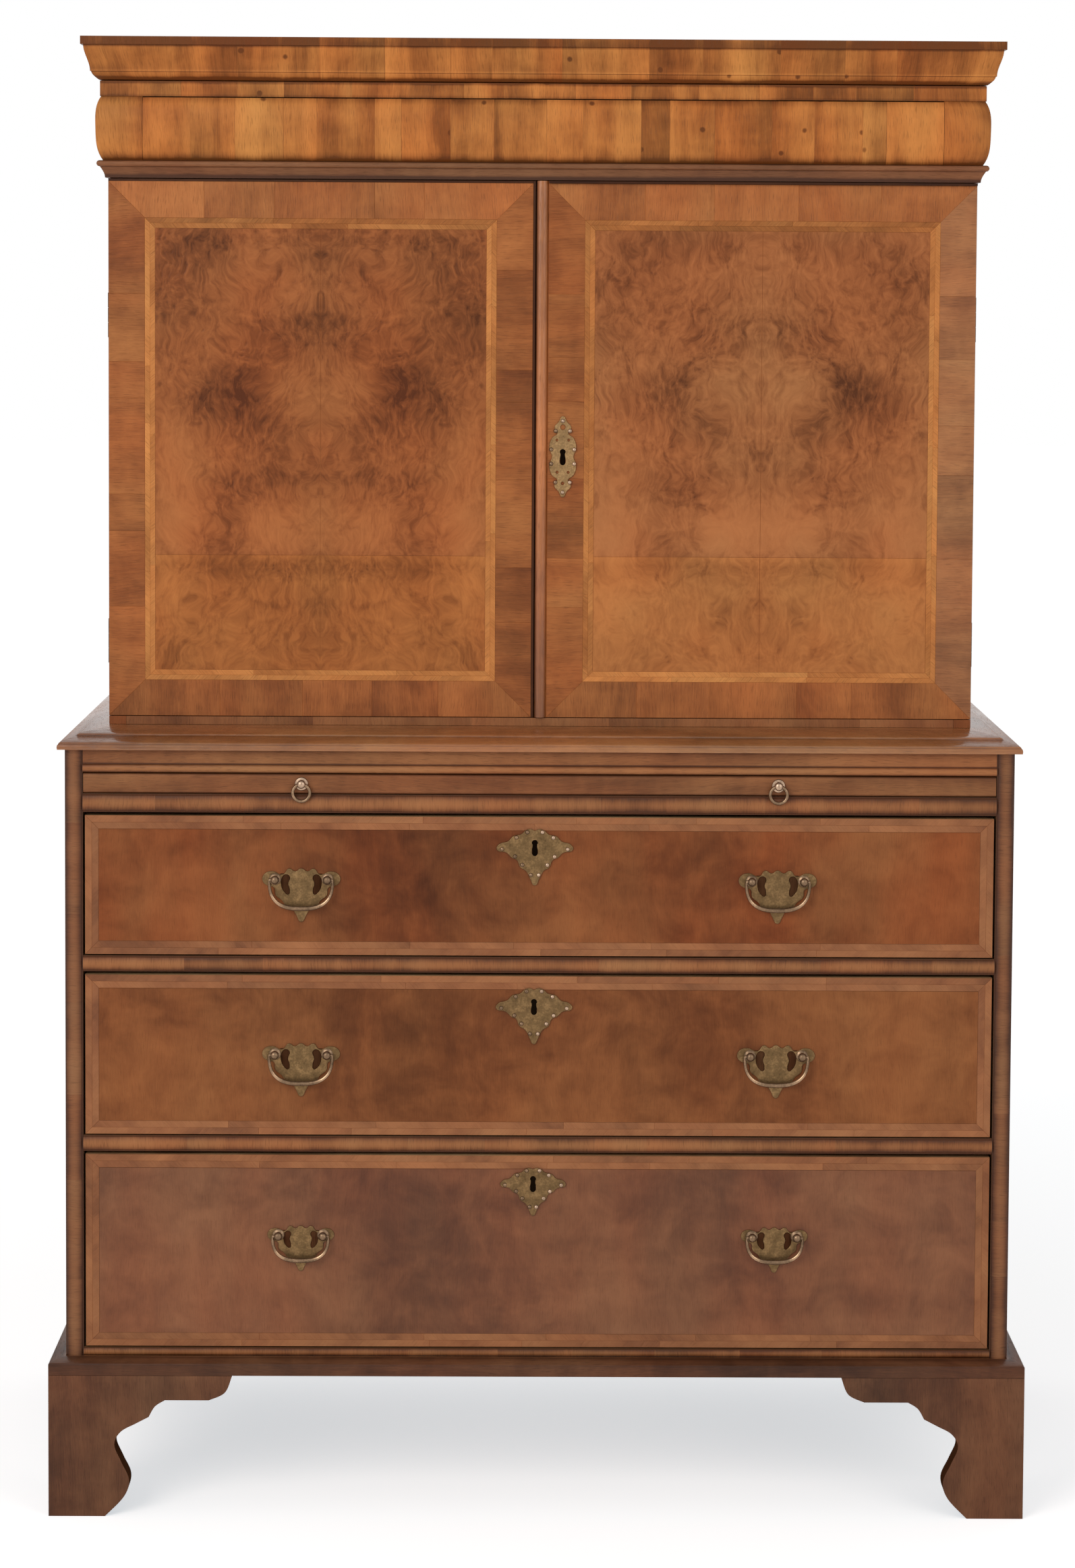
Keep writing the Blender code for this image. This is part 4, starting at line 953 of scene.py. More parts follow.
class CABINET_OT_cornice(CabinetOperator, bpy.types.Operator):
    """Crown, band, cushion returns and astragal in crossgrain leaves"""

    bl_idname = "cabinet.cornice"
    bl_label = "Cornice"

    def make(self, sizes):
        """Runs each member mitred round the case."""
        shape = Shape("cornice")
        half, front = CORNICE_HALF, CORNICE_FRONT
        neck = FRIEZE_FLOOR - 0.007
        reach, roll = 0.008, 0.0035
        # The shades added to these profiles are painted shade: in the hollow and round the astragal, at both edges of
        # the band and under the crown's ovolo; the top fillet is painted darker too
        hollow = with_painted_shade(ease((0.003, DOOR_HEAD), (reach, neck), "cavetto"), -2.2, -1.9, -1.4, -0.8, -0.3)
        astragal = [(0.0, DOOR_HEAD)] + hollow
        astragal += with_painted_shade(arc((reach, neck + roll), (roll, roll), 90, -60), -2.0, -1.6, -1.0, -0.4)[::-1]
        astragal += [(0.0, FRIEZE_FLOOR)]
        low, high = FRIEZE_HEAD, FRIEZE_HEAD + 0.018
        out = 0.0078
        flat = [(0.0, low), (out, low, -0.9), (out, low + 0.003), (out, high - 0.005, 0.1), (out, high - 0.0012, -1.6)]
        flat += [(0.0, high)]
        fillet, brow = 0.009, 0.0275
        ovolo = ease((0.009, high), (0.0165, high + 0.009), "ovolo")
        crown = [(0.0, high)] + with_painted_shade(ovolo, -2.0, -1.8, -1.4, -1.0, -0.5)
        crown += ease((0.0177, high + 0.009), (0.0245, CORNICE_HEAD - fillet), "cyma")
        crown += [(brow, CORNICE_HEAD - fillet, -1.5), (brow, CORNICE_HEAD, -1.3), (0.0, CORNICE_HEAD)]
        for profile, cross, step, spread, tone in (
            (astragal, False, 0.4, 0.2, 0.2), (flat, True, 1.3 * sizes.leaf, 0.35, -0.35),
            (crown, True, 1.5 * sizes.leaf, 0.35, -0.15)
        ):
            cuts = [shape.cuts(span, step) for span in (BACK - front, 2 * half, BACK - front)]
            finish = "cornice_walnut" if cross else "stile_walnut"
            shape.sweep(profile, (finish, cross), around(half, front, cuts), spread, tone)
        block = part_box("frieze_drawer_front")[1].x + 0.0012
        puff = [(0.0, FRIEZE_FLOOR)] + cushion_line(0.0, FRIEZE_HEAD - FRIEZE_FLOOR) + [(0.0, FRIEZE_HEAD)]
        for path in (
            [(-half, BACK), (-half, front), (-block, front)], [(block, front), (half, front), (half, BACK)]
        ):
            spans = [math.dist(a, b) for a, b in zip(path, path[1:])]
            cuts = [shape.cuts(span, sizes.leaf) for span in spans]
            shape.sweep(puff, ("cornice_walnut", True), stations(path, cuts), spread=0.4)
        shape.piece("cornice_mouldings", "carcase", "crossgrain_walnut", "cornice")


class CABINET_OT_frieze_drawer(CabinetOperator, bpy.types.Operator):
    """The shallow drawer in the cushion: a moulded front in crossgrain leaves and an oak box"""

    bl_idname = "cabinet.frieze_drawer"
    bl_label = "Frieze drawer"

    def make(self, sizes):
        """Sweeps the front and boards up the box."""
        shape = Shape("frieze drawer")
        low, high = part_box("frieze_drawer_front")
        line = cushion_line(low.z - FRIEZE_FLOOR, high.z - FRIEZE_FLOOR)
        rear = CORNICE_FRONT - high.y
        profile = [(rear, low.z)] + line + [(rear, high.z)]
        looks = [("deal_board", False)] + [("cornice_walnut", True)] * (len(line) - 1) + [("deal_board", False)] * 2
        cuts = shape.cuts(high.x - low.x, sizes.leaf)
        half = high.x + 0.0008
        path = straight((-half, CORNICE_FRONT, 0.0), (half, CORNICE_FRONT, 0.0), FORWARD, UP, cuts)
        shape.sweep(profile, looks, path, spread=0.5, tone=0.08)
        shape.piece("frieze_drawer_face", "frieze_drawer", "crossgrain_walnut", "frieze_drawer_front")
        make_box("frieze_drawer", "frieze_drawer", "frieze_drawer_box", 3)


def make_box(name, body, node, boards):
    """A drawer's box: oak sides and back with rounded tops, and a bottom of boards laid side to side."""
    shape = Shape(name)
    low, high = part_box(node)
    wall, floor = 0.011, 0.008
    for x in (low.x, high.x - wall):
        shape.plank((x, low.y, low.z), (x + wall, high.y, high.z), REARWARD, "oak_lining", ease=0.0022)
    shape.plank((low.x + wall, high.y - wall, low.z), (high.x - wall, high.y, high.z), RIGHT, "oak_lining", ease=0.0018)
    span = (high.y - wall - low.y) / boards
    for index in range(boards):
        near = low.y + span * index
        corners = (low.x + wall, near, low.z + 0.0012), (high.x - wall, near + span, low.z + floor)
        shape.plank(*corners, RIGHT, "oak_lining", ease=0.0006)
    shape.piece(name + "_linings", body, "drawer_oak", node)


class CABINET_OT_doors(CabinetOperator, bpy.types.Operator):
    """Crossbands, feather bands and matched burr panels of both doors, and the meeting bead"""

    bl_idname = "cabinet.doors"
    bl_label = "Doors"

    def make(self, sizes):
        """Lays the veneers on each door."""
        level = DOOR_FACE - PROUD
        line, meeting = 0.0028, 0.0066
        for side, tones, light, burr_tone, foot in (
            ("left", (-0.25, -0.45, 0.15, -0.25), (0.1, 0.15, -0.5, 0.15), -0.22, -0.28),
            ("right", (-0.1, -0.1, 0.15, -0.15), (0.25, 0.1, -0.5, -0.1), 0.06, 0.20),
        ):
            node = f"door_{side}"
            low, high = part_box(node)
            shape = Shape(node + " veneers")
            head = high.z - line
            outer = (low.x, low.z, high.x - line, head) if side == "left" else (meeting, low.z, high.x, head)
            far = low.y + VENEER - PROUD
            # A dark strip at the door's head, painted as the shadow under the astragal
            shape.plank((outer[0], low.y - PROUD, head), (outer[2], far, high.z), RIGHT, "dark_line", JOINT)
            field = inset(outer, sizes.crossband)
            far_run = "crossband" if side == "left" else "grey_crossband"
            runs = [("crossband", tones[0]), (far_run, tones[1]), ("crossband", tones[2]), ("crossband", tones[3])]
            band(shape, outer, field, level, runs, step=0.075, slants=90, spread=0.2)
            panel = feather(shape, field, sizes.feather, level, "feather_band", step=0.12, tones=light)
            middle = (panel[0] + panel[2]) / 2

            def cloud(place, middle=middle):
                return clouded(BURR_CLOUDS, abs(place.x - middle), place.z)

            joint = sizes.panel_joint
            leaf = shape.leaf("burr_" + side, UP, FORWARD, spread=0.06, tone=burr_tone)
            matched(shape, (panel[0], joint, panel[2], panel[3]), middle, level, leaf, cloud)
            leaf = leaf._replace(finish="panel_foot_" + side, tone=foot)
            matched(shape, (panel[0], panel[1], panel[2], joint), middle, level, leaf, cloud)
            if side == "left":
                # A dark strip at the left door's meeting edge, painted as the shadow in the gap between the doors
                shape.plank((high.x - line, low.y - PROUD, low.z), (high.x, far, high.z), UP, "dark_line", JOINT)
            else:
                wide = 0.0125
                curve = arc((low.x + wide / 2, DOOR_FACE + 0.001), (wide / 2, -0.0052), 180, 0, 16)
                # The bead's left side is painted dark as the shade in the gap where the doors meet
                curve = with_painted_shade(curve, -2.0, -1.8, -1.4, -0.9, -0.4)
                shape.sweep(curve, ("meeting_bead", False), upright_run(low, high), spread=0.1, tone=0.2)
            shape.piece(node + "_veneers", f"{side}_door", "burr_walnut")
            dress(node, "door_core")
        for side in ("left", "right"):
            for which in ("upper", "lower"):
                for leaf in ("case", "door"):
                    dress(f"hinge_{side}_{which}_{leaf}_leaf", "dull_brass")


class CABINET_OT_cabinet_case(CabinetOperator, bpy.types.Operator):
    """Sides, boards and planked back of the cabinet"""

    bl_idname = "cabinet.cabinet_case"
    bl_label = "Cabinet case"

    def make(self, sizes):
        """Veneers the sides, edges the bottom and planks the top and back."""
        for side, sign in (("left", -1), ("right", 1)):
            node = f"cabinet_side_{side}"
            dress(node, "case_core")
            shape = Shape(node)
            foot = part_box(node)[0].z
            side_leaves(shape, sign, sign * (CASE_HALF + SKIN), CASE_FRONT, foot, DOOR_HEAD)
            shape.piece(node + "_veneers", "carcase", "figured_walnut")
        dress("frieze_board", "oak_board")
        shape = Shape("cabinet bottom")
        low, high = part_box("cabinet_bottom_board")
        edge = low.z + 0.009
        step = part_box("cabinet_side_left")[0].y + 0.023
        profile = [(low.y, low.z), (low.y, edge), (step, edge), (step, high.z), (high.y, high.z), (high.y, low.z)]
        looks = [("rail_walnut", True), ("rail_walnut", True)] + [("oak_lining", False)] * 4
        cuts = shape.cuts(high.x - low.x, sizes.rail_leaf)
        shape.sweep(profile, looks, level_run(low, high, cuts), spread=0.25, tone=-0.2)
        shape.piece("cabinet_bottom", "carcase", "crossgrain_walnut", "cabinet_bottom_board")
        shape = Shape("cabinet top")
        low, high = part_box("cabinet_top_board")
        planks(shape, low, high, 1, RIGHT, 3)
        shape.piece("cabinet_top", "carcase", "carcase_deal", "cabinet_top_board")
        make_back("cabinet_back_panel", sizes)


def side_leaves(shape, sign, x, near, low, high):
    """Upright matched leaves over the outer face of a case's side, from its front to the back."""
    count = 3
    span = (BACK - near) / count
    base = shape.leaf("side_walnut", UP, RIGHT * sign, spread=0.1)
    for index in range(count):
        start = near + span * index
        corner = (x, start if sign > 0 else start + span, low)
        flip = 1 if index % 2 else -1
        joint = start if index % 2 else start + span
        one = base._replace(across=REARWARD * flip + RIGHT, shift=(base.shift[0], base.shift[1] - flip * joint))
        shade = lambda place: 0.25 * math.sin(9.0 * place.z + 5.0 * place.y) * math.cos(6.0 * place.y)
        shape.sheet(corner, (0.0, sign * span, 0.0), (0.0, 0.0, high - low), one, shade, 0.03)


def planks(shape, low, high, axis, along, count):
    """Boards side by side between two corners, stacked along an axis."""
    marks = [low[axis] + (high[axis] - low[axis]) * index / count for index in range(count + 1)]
    for index in range(1, count):
        marks[index] += shape.random.uniform(-0.012, 0.012)
    for first, second in zip(marks, marks[1:]):
        near, far = Vector(low), Vector(high)
        near[axis], far[axis] = first, second
        shape.plank(near, far, along, "deal_board", spread=0.3)


def make_back(node, sizes):
    """A back of upright planks with two rows of nails."""
    shape = Shape(node)
    low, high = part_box(node)
    count = round((high.x - low.x) / sizes.plank)
    planks(shape, low, high, 0, UP, count)
    head = [(0.0034, -0.0008), (0.0032, 0.0003), (0.0018, 0.0008)]
    edge, apart, sunk = 0.012, 0.045, 0.0003
    iron = shape.leaf("nail_iron", UP, REARWARD)
    for index in range(count):
        middle = low.x + (high.x - low.x) * (index + 0.5) / count
        for height in (low.z + edge, high.z - edge):
            for offset in (-apart, apart):
                spot = (middle + offset + shape.random.uniform(-0.006, 0.006), high.y - sunk, height)
                shape.lathe(spot, REARWARD, head, 8, iron)
    shape.piece(node + "_planks", "carcase", "carcase_deal", node)


class CABINET_OT_waist(CabinetOperator, bpy.types.Operator):
    """The moulded frame between the chest and the cabinet"""

    bl_idname = "cabinet.waist"
    bl_label = "Waist moulding"

    def make(self, sizes):
        """Runs the moulding mitred round the chest."""
        shape = Shape("waist")
        low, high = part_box("waist_moulding")
        outer = 0.0875
        half, front = high.x - outer, low.y + outer
        lip = low.z + 0.005
        crest = outer - 0.019
        quirk, slope = 0.0012, 0.030
        profile = [(0.0, low.z), (outer, low.z), (outer + 0.0004, low.z + 0.0025), (outer, lip)]
        profile += ease((outer - quirk, lip + quirk), (crest, lip + 0.0085), "cavetto")
        profile += ease((crest - quirk, lip + 0.0097), (crest - slope, high.z), "cavetto") + [(0.0, high.z)]
        path = around(half, front, [[0.21], [0.40, half + 0.021], [0.24]])
        shape.sweep(profile, ("waist_walnut", False), path, spread=0.2, tone=-0.1)
        shape.piece("waist_mouldings", "carcase", "crossgrain_walnut", "waist_moulding")


class CABINET_OT_chest_case(CabinetOperator, bpy.types.Operator):
    """Beaded sides, rails and boards of the chest and its planked back"""

    bl_idname = "cabinet.chest_case"
    bl_label = "Chest case"

    def make(self, sizes):
        """Runs the beaded edges and boards."""
        for side, sign in (("left", -1), ("right", 1)):
            node = f"chest_side_{side}"
            low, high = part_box(node)
            shape = Shape(node)
            edge = [(x, CHEST_FACE + y, shade) for x, y, shade in broad_bead(low.x, high.x - low.x)]
            profile = edge + [(high.x, BACK), (low.x, BACK)]
            looks = [("stile_walnut", True)] * (len(edge) - 1) + [("oak_lining", False)] * 3
            cuts = shape.cuts(high.z - low.z, sizes.rail_leaf)
            shape.sweep(profile, looks, upright_run(low, high, cuts), spread=0.28, tone=-0.4)
            side_leaves(shape, sign, sign * (CHEST_HALF + SKIN), CHEST_FACE + 0.0008, low.z, high.z)
            shape.piece(node + "_boards", "carcase", "figured_walnut", node)
        wide = 0.009
        for node in ("drawer_divider_lower", "drawer_divider_upper", "slide_divider", "chest_bottom_board",
                     "chest_top_board"):
            low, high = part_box(node)
            shape = Shape(node)
            if node == "chest_bottom_board":
                line = [(low.z, 0.0), (high.z - wide, 0.0)] + bead(high.z - wide, wide)
            elif node == "chest_top_board":
                # Painted shade at the board's head, under the waist's lip
                line = bead(low.z, wide) + [(low.z + wide + 0.002, 0.0), (high.z - 0.004, 0.0), (high.z, 0.0, -0.6)]
            else:
                line = broad_bead(low.z, high.z - low.z)
            edge = [(CHEST_FACE + y, z, *shade) for z, y, *shade in line]
            profile = edge + [(high.y, high.z), (high.y, low.z)]
            facing = ("rail_walnut", node != "chest_top_board")
            looks = [facing] * (len(edge) - 1) + [("oak_lining", False)] * 3
            cuts = shape.cuts(high.x - low.x, sizes.rail_leaf)
            # The top board is painted lighter to offset the shadow that the waist's lip casts on it
            tone = {"chest_top_board": 0.3, "chest_bottom_board": -0.75}.get(node, -0.45)
            shape.sweep(profile, looks, level_run(low, high, cuts), spread=0.28, tone=tone)
            shape.piece(node + "_beaded", "carcase", "crossgrain_walnut", node)
        make_back("chest_back_panel", sizes)


class CABINET_OT_drawers(CabinetOperator, bpy.types.Operator):
    """Veneered fronts and oak boxes of the three long drawers"""

    bl_idname = "cabinet.drawers"
    bl_label = "Long drawers"

    def make(self, sizes):
        """Lays each front's band and leaf, lets in its dovetails and boards up its box."""
        for drawer in ("upper", "middle", "lower"):
            node = f"drawer_{drawer}_front"
            low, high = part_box(node)
            shape = Shape(node)
            core, room, band_room = CHEST_FACE + 0.0006, DRAWER_END_ROOM, 0.0014
            head = high.z - sizes.shadow_gap
            foot = low.z + sizes.foot_gap
            shape.plank((low.x + room, core, foot), (high.x - room, high.y, head), RIGHT, "deal_board", ease=0.0006)
            outer = (low.x + band_room, foot, high.x - band_room, head)
            tones = (0.25, 0.3, 0.25, 0.15)
            field = feather(shape, outer, sizes.drawer_band, CHEST_FACE, "drawer_band", step=0.16, tones=tones)

            def cloud(place, low=low, high=high):
                return clouded(DRAWER_CLOUDS, place.x, (place.z - low.z) / (high.z - low.z))

            wide, tall = (field[2] - field[0], 0.0, 0.0), (0.0, 0.0, field[3] - field[1])
            leaf = shape.leaf(f"drawer_{drawer}", UP, FORWARD, spread=0.06)
            shape.sheet((field[0], CHEST_FACE, field[1]), wide, tall, leaf, cloud)
            dovetails(shape, low, high)
            shape.piece(f"drawer_{drawer}_face", f"{drawer}_drawer", "figured_walnut", node)
            make_box(f"drawer_{drawer}", f"{drawer}_drawer", f"drawer_{drawer}_box", 4)


def dovetails(shape, low, high):
    """The tails of the box's sides, let into both ends of a drawer front."""
    count, edge = 4, 0.006
    near, far = low.y + edge, high.y
    step = (high.z - low.z - 2 * edge) / count
    for x, sign in ((low.x + DRAWER_END_ROOM, -1), (high.x - DRAWER_END_ROOM, 1)):
        for index in range(count):
            middle = low.z + edge + step * (index + 0.5)
            wide, narrow = step * 0.40, step * 0.27
            corners = [(near, middle - wide), (far, middle - narrow), (far, middle + narrow), (near, middle + wide)]
            outline = [(x + sign * SKIN, y, z) for y, z in corners]
            shape.veneer(outline[::sign], shape.leaf("oak_lining", REARWARD, RIGHT * sign, spread=0.1, tone=-0.1))


class CABINET_OT_slide(CabinetOperator, bpy.types.Operator):
    """The brushing slide with clamped ends, and its ring pulls"""

    bl_idname = "cabinet.slide"
    bl_label = "Brushing slide"

    def make(self, sizes):
        """Boards up the slide and turns the eyes and rings."""
        shape = Shape("slide")
        low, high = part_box("brushing_slide")
        lip, soft = 0.012, 0.0028
        clamp = high.x - 0.058
        rear = low.y + lip
        for near, far, along in ((-clamp, clamp, RIGHT), (low.x, -clamp, REARWARD), (clamp, high.x, REARWARD)):
            ends = (near, rear, low.z), (far, high.y, high.z)
            shape.plank(*ends, along, "rail_walnut", ease=0.0007, spread=0.12, tone=-0.1)
        # Painted shade in the rounded front edges at the slide's foot and head, for the shadow lines round it
        painted_shadow = (-2.0, -1.8, -1.5, -1.1, -0.7, -0.4)
        profile = [(rear, low.z)]
        profile += with_painted_shade(arc((low.y + soft, low.z + soft), (soft, soft), 270, 180, 6), *painted_shadow)
        profile += with_painted_shade(arc((low.y + soft, high.z - soft), (soft, soft), 90, 180, 6), *painted_shadow)[::-1] + [(rear, high.z)]
        shape.sweep(profile, ("rail_walnut", False), level_run(low, high, [0.35, 0.62]), spread=0.15, tone=-0.1)
        shape.piece("brushing_slide_boards", "slide", "figured_walnut", "brushing_slide")
        for side in ("left", "right"):
            eye_low, eye_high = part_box(f"slide_eye_{side}")
            middle = (eye_low + eye_high) / 2
            axis = Vector((middle.x, eye_high.y - 0.0053, middle.z))
            shape = Shape("eye " + side)
            brass = shape.leaf("bright_brass", UP, FORWARD)
            turned = [(0.0068, -0.0052), (0.0075, -0.0046), (0.0070, -0.0038), (0.0046, -0.0034), (0.0040, -0.0022)]
            turned += [(0.0046, -0.0006), (0.0048, 0.0010), (0.0044, 0.0026), (0.0030, 0.0038), (0.0012, 0.0043)]
            shape.lathe(axis, FORWARD, turned, 24, brass)
            shape.piece(f"slide_eye_{side}_turned", "slide", "antique_brass", f"slide_eye_{side}")
            shape = Shape("ring " + side)
            radius, wire, count = 0.0095, 0.0019, 40
            turns = [math.tau * step / count for step in range(count)]
            loop = [axis - UP * radius + (RIGHT * math.cos(turn) + UP * math.sin(turn)) * radius for turn in turns]
            brass = shape.leaf("rubbed_brass", UP, FORWARD)
            shape.tube(loop, [wire] * count, [0.2] * count, FORWARD, 12, brass, True)
            shape.piece(f"slide_ring_{side}_wire", f"{side}_ring", "antique_brass", f"slide_ring_{side}")


class CABINET_OT_base(CabinetOperator, bpy.types.Operator):
    """The base moulding and the bracket feet"""

    bl_idname = "cabinet.base"
    bl_label = "Base and feet"

    def make(self, sizes):
        """Runs the moulding and saws the brackets."""
        shape = Shape("base")
        low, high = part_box("base_moulding")
        outer = 0.0175
        half, front = high.x - outer, low.y + outer
        # Painted shade: the fascia is darker, and the cove darkest at its head under the lowest drawer and at its lower
        # edge, where it tones down the light from above
        profile = [(0.0, low.z), (outer, low.z, -0.75), (outer, low.z + 0.0105, -0.55)]
        cove = ease((outer, low.z + 0.012), (0.004, high.z), "cavetto")
        profile += with_painted_shade(cove, -0.9, -0.9, -0.6, -0.4, -0.3, -0.2, -0.2, -0.2, -0.4, -0.6, -1.0) + [(0.0, high.z)]
        path = around(half, front, [[0.3], [0.31, half + 0.18], [0.26]])
        shape.sweep(profile, ("plinth_walnut", False), path, spread=0.2, tone=-0.05)
        shape.piece("base_mouldings", "carcase", "crossgrain_walnut", "base_moulding")
        for end in ("front", "rear"):
            for side, sign in (("left", -1), ("right", 1)):
                node = f"{end}_foot_{side}"
                low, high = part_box(node)
                shape = Shape(node)
                x = high.x if sign > 0 else low.x
                y, way = (low.y, 1) if end == "front" else (high.y, -1)
                shaped = bracket_line(high.z)
                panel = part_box("chest_back_panel")
                head, edge = panel[0].z, abs(x) - panel[1].x
                plain = [(0.0, 0.0), (FOOT_PAD, 0.0), (0.130, head), (edge, head), (edge, high.z), (0.0, high.z)]
                for outline, along, inward in (
                    (shaped if end == "front" else plain, RIGHT * -sign, REARWARD * way),
                    (shaped, REARWARD * way, RIGHT * -sign),
                ):
                    saw_bracket(shape, Vector((x, y, 0.0)), outline, along, inward)
                shape.piece(node + "_brackets", "carcase", "figured_walnut", node)


FOOT_PAD = 0.063


def bracket_line(head):
    """A bracket's sawn outline from its corner: (along, height)."""
    shares = (
        (0.15, 0.14), (0.19, 0.26), (0.127, 0.39), (0.074, 0.51), (0.125, 0.60), (0.246, 0.66), (0.345, 0.706),
        (0.345, 0.706), (0.394, 0.78), (0.472, 0.825), (0.472, 0.825), (0.817, 0.825), (0.817, 0.825), (0.944, 0.88)
    )
    reach, tall, steps = 0.142, 0.160, 6
    knots = [(0.0, 0.0)] * 2 + [(reach * a, tall * b) for a, b in shares] + [(reach, head)] * 2
    line = []
    for before, here, after, last in zip(knots, knots[1:], knots[2:], knots[3:]):
        if here == after:
            continue
        for step in range(steps):
            t = step / steps
            point = []
            for p, q, r, s in zip(before, here, after, last):
                first = (r - p) / 2 if before != here else 0.6 * (r - q)
                second = (s - q) / 2 if after != last else 0.6 * (r - q)
                bend = (2 * t**3 - 3 * t**2 + 1) * q + (t**3 - 2 * t**2 + t) * first
                point.append(bend + (3 * t**2 - 2 * t**3) * r + (t**3 - t**2) * second)
            line.append((FOOT_PAD + point[0], max(0.0, point[1])))
    return [(0.0, 0.0)] + line + [(FOOT_PAD + reach, head), (0.0, head)]


def saw_bracket(shape, corner, outline, along, inward):
    """One bracket of a foot, mitred at the corner, with a darker sawn edge."""
    board = 0.024
    leaf = shape.leaf("plinth_walnut", UP, -inward, spread=0.12)
    rings = []
    for depth, shade in ((0.0, 0.0), (board, -0.2)):
        rings.append([shape.vert(corner + along * max(u, depth) + UP * v + inward * depth, shade) for u, v in outline])
    shape.rings(rings, leaf, leaf._replace(finish="sawn_edge"))


class CABINET_OT_brass(CabinetOperator, bpy.types.Operator):
    """Bail handles and escutcheons"""

    bl_idname = "cabinet.brass"
    bl_label = "Handles and escutcheons"

    def make(self, sizes):
        """Cuts the plates, turns the posts, bends the bails and sets dark sheets painted as shadow in the keyholes."""
        for drawer, share in (("upper", 1.0), ("middle", 1.0), ("lower", 0.86)):
            for side in ("left", "right"):
                make_handle(drawer, side, share)
            node = f"drawer_{drawer}_escutcheon"
            low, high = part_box(node)
            wide, rise = 0.0425 * share, 0.0205 * share
            middle = Vector(((low.x + high.x) / 2, high.y, high.z - rise))
            half = [(u * wide, v * (rise if v > 0 else wide)) for u, v in SHIELD_HALF]
            make_escutcheon(node, f"{drawer}_drawer", middle, half, SHIELD_LOBES, [], "worn_brass", sizes)
        low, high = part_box("door_escutcheon")
        middle = (low + high) / 2
        half = [(u * 0.015, v * 0.0455) for u, v in DOOR_PLATE_HALF]
        holes = [((0.0, 0.0330), 0.0030), ((-0.0062, -0.0175), 0.0016), ((0.0062, -0.0175), 0.0016)]
        holes += [((0.0, -0.0300), 0.0018), ((-0.0066, 0.0185), 0.0014), ((0.0066, 0.0185), 0.0014)]
        place = Vector((middle.x, high.y, middle.z))
        make_escutcheon("door_escutcheon", "right_door", place, half, DOOR_PLATE_LOBES, holes, "pale_brass", sizes)


BAT_WING_HALF = (
    (0.0, 1.0), (0.16, 0.72), (0.32, 0.98), (0.48, 0.42), (0.74, 0.72), (0.96, 0.45), (1.0, -0.05), (0.86, -0.16),
    (0.70, -0.20), (0.66, -0.38), (0.50, -0.50), (0.42, -0.60), (0.24, -0.68), (0.13, -0.84), (0.0, -1.0),
)
WING_HOLE = (
    (0.30, 0.06), (0.40, 0.12), (0.50, 0.04), (0.52, -0.16), (0.44, -0.34), (0.33, -0.40), (0.30, -0.28), (0.34, -0.12)
)
WING_FIELD = ((0.27, 0.14), (0.27, -0.43), (0.46, -0.43), (0.55, -0.16), (0.54, 0.14))
SHIELD_HALF = (
    (0.0, 0.92), (0.10, 1.0), (0.23, 0.95), (0.36, 0.72), (0.56, 0.62), (0.70, 0.34), (0.93, 0.18), (1.0, -0.05),
    (0.74, -0.14), (0.60, -0.27), (0.47, -0.33), (0.38, -0.52), (0.23, -0.62), (0.12, -0.82), (0.0, -1.0),
)
SHIELD_LOBES = (2, 4, 7, 9, 11, 13)
DOOR_PLATE_HALF = (
    (0.0, 1.0), (0.30, 0.86), (0.62, 0.72), (0.40, 0.58), (0.80, 0.46), (1.0, 0.20), (0.80, 0.0), (1.0, -0.20),
    (0.80, -0.46), (0.40, -0.58), (0.62, -0.72), (0.30, -0.86), (0.0, -1.0),
)
DOOR_PLATE_LOBES = (0, 2, 5, 7, 10, 12)


def plate(outlines, place):
    """The mesh of a pierced plate facing forward with eased edges, its back at a place."""
    soft = 0.00035
    curve = bpy.data.curves.new("plate", "CURVE")
    curve.dimensions = "2D"
    curve.fill_mode = "BOTH"
    curve.resolution_u = 5
    curve.extrude = PLATE / 2 - soft
    curve.bevel_depth = soft
    curve.bevel_resolution = 1
    curve.offset = -soft
    for points in outlines:
        spline = curve.splines.new("BEZIER")
        spline.use_cyclic_u = True
        spline.bezier_points.add(len(points) - 1)
        for knot, point in zip(spline.bezier_points, points):
            knot.co = (*point, 0.0)
            knot.handle_left_type = knot.handle_right_type = "AUTO"
    maker = bpy.data.objects.new("plate", curve)
    bpy.context.scene.collection.objects.link(maker)
    mesh = bpy.data.meshes.new_from_object(maker.evaluated_get(bpy.context.evaluated_depsgraph_get()))
    bpy.data.objects.remove(maker, do_unlink=True)
    turn = Matrix.Rotation(math.pi / 2, 4, "X")
    mesh.transform(Matrix.Translation(place + FORWARD * PLATE / 2) @ turn)
    return mesh


def add_plate(shape, outlines, place, finish):
    """Adds a pierced plate with painted shade at its foot where it meets the wood, with its back at a place."""
    shape.take(plate(outlines, place), finish, lambda at: 0.2 - 0.9 * (at.y > place.y - PLATE / 2))


def full_outline(half):
    """A closed outline from its right half, which starts and ends on the middle line."""
    return list(half) + [(-u, v) for u, v in half[-2:0:-1]]


def hole(centre, radius):
    """A round hole of eight knots."""
    return arc(centre, (radius, radius), 10, 370, 8)[:-1]


def keyhole(share=1.0):
    """A keyhole: a round head over a slot."""
    head = arc((0.0, 0.0052), (0.0032, 0.0032), -40, 220, 8)
    return [(u * share, v * share) for u, v in head + [(-0.0022, -0.0086), (0.0022, -0.0086)]]


def pips(shape, spots, place, radius, brass):
    """Small raised domes on a plate."""
    dome = [(a * radius, b * radius) for a, b in ((1.0, 0.0), (0.92, 0.35), (0.66, 0.62), (0.25, 0.78))]
    for u, v in spots:
        shape.lathe(place + Vector((u, 0.0, v)), FORWARD, dome, 12, brass)


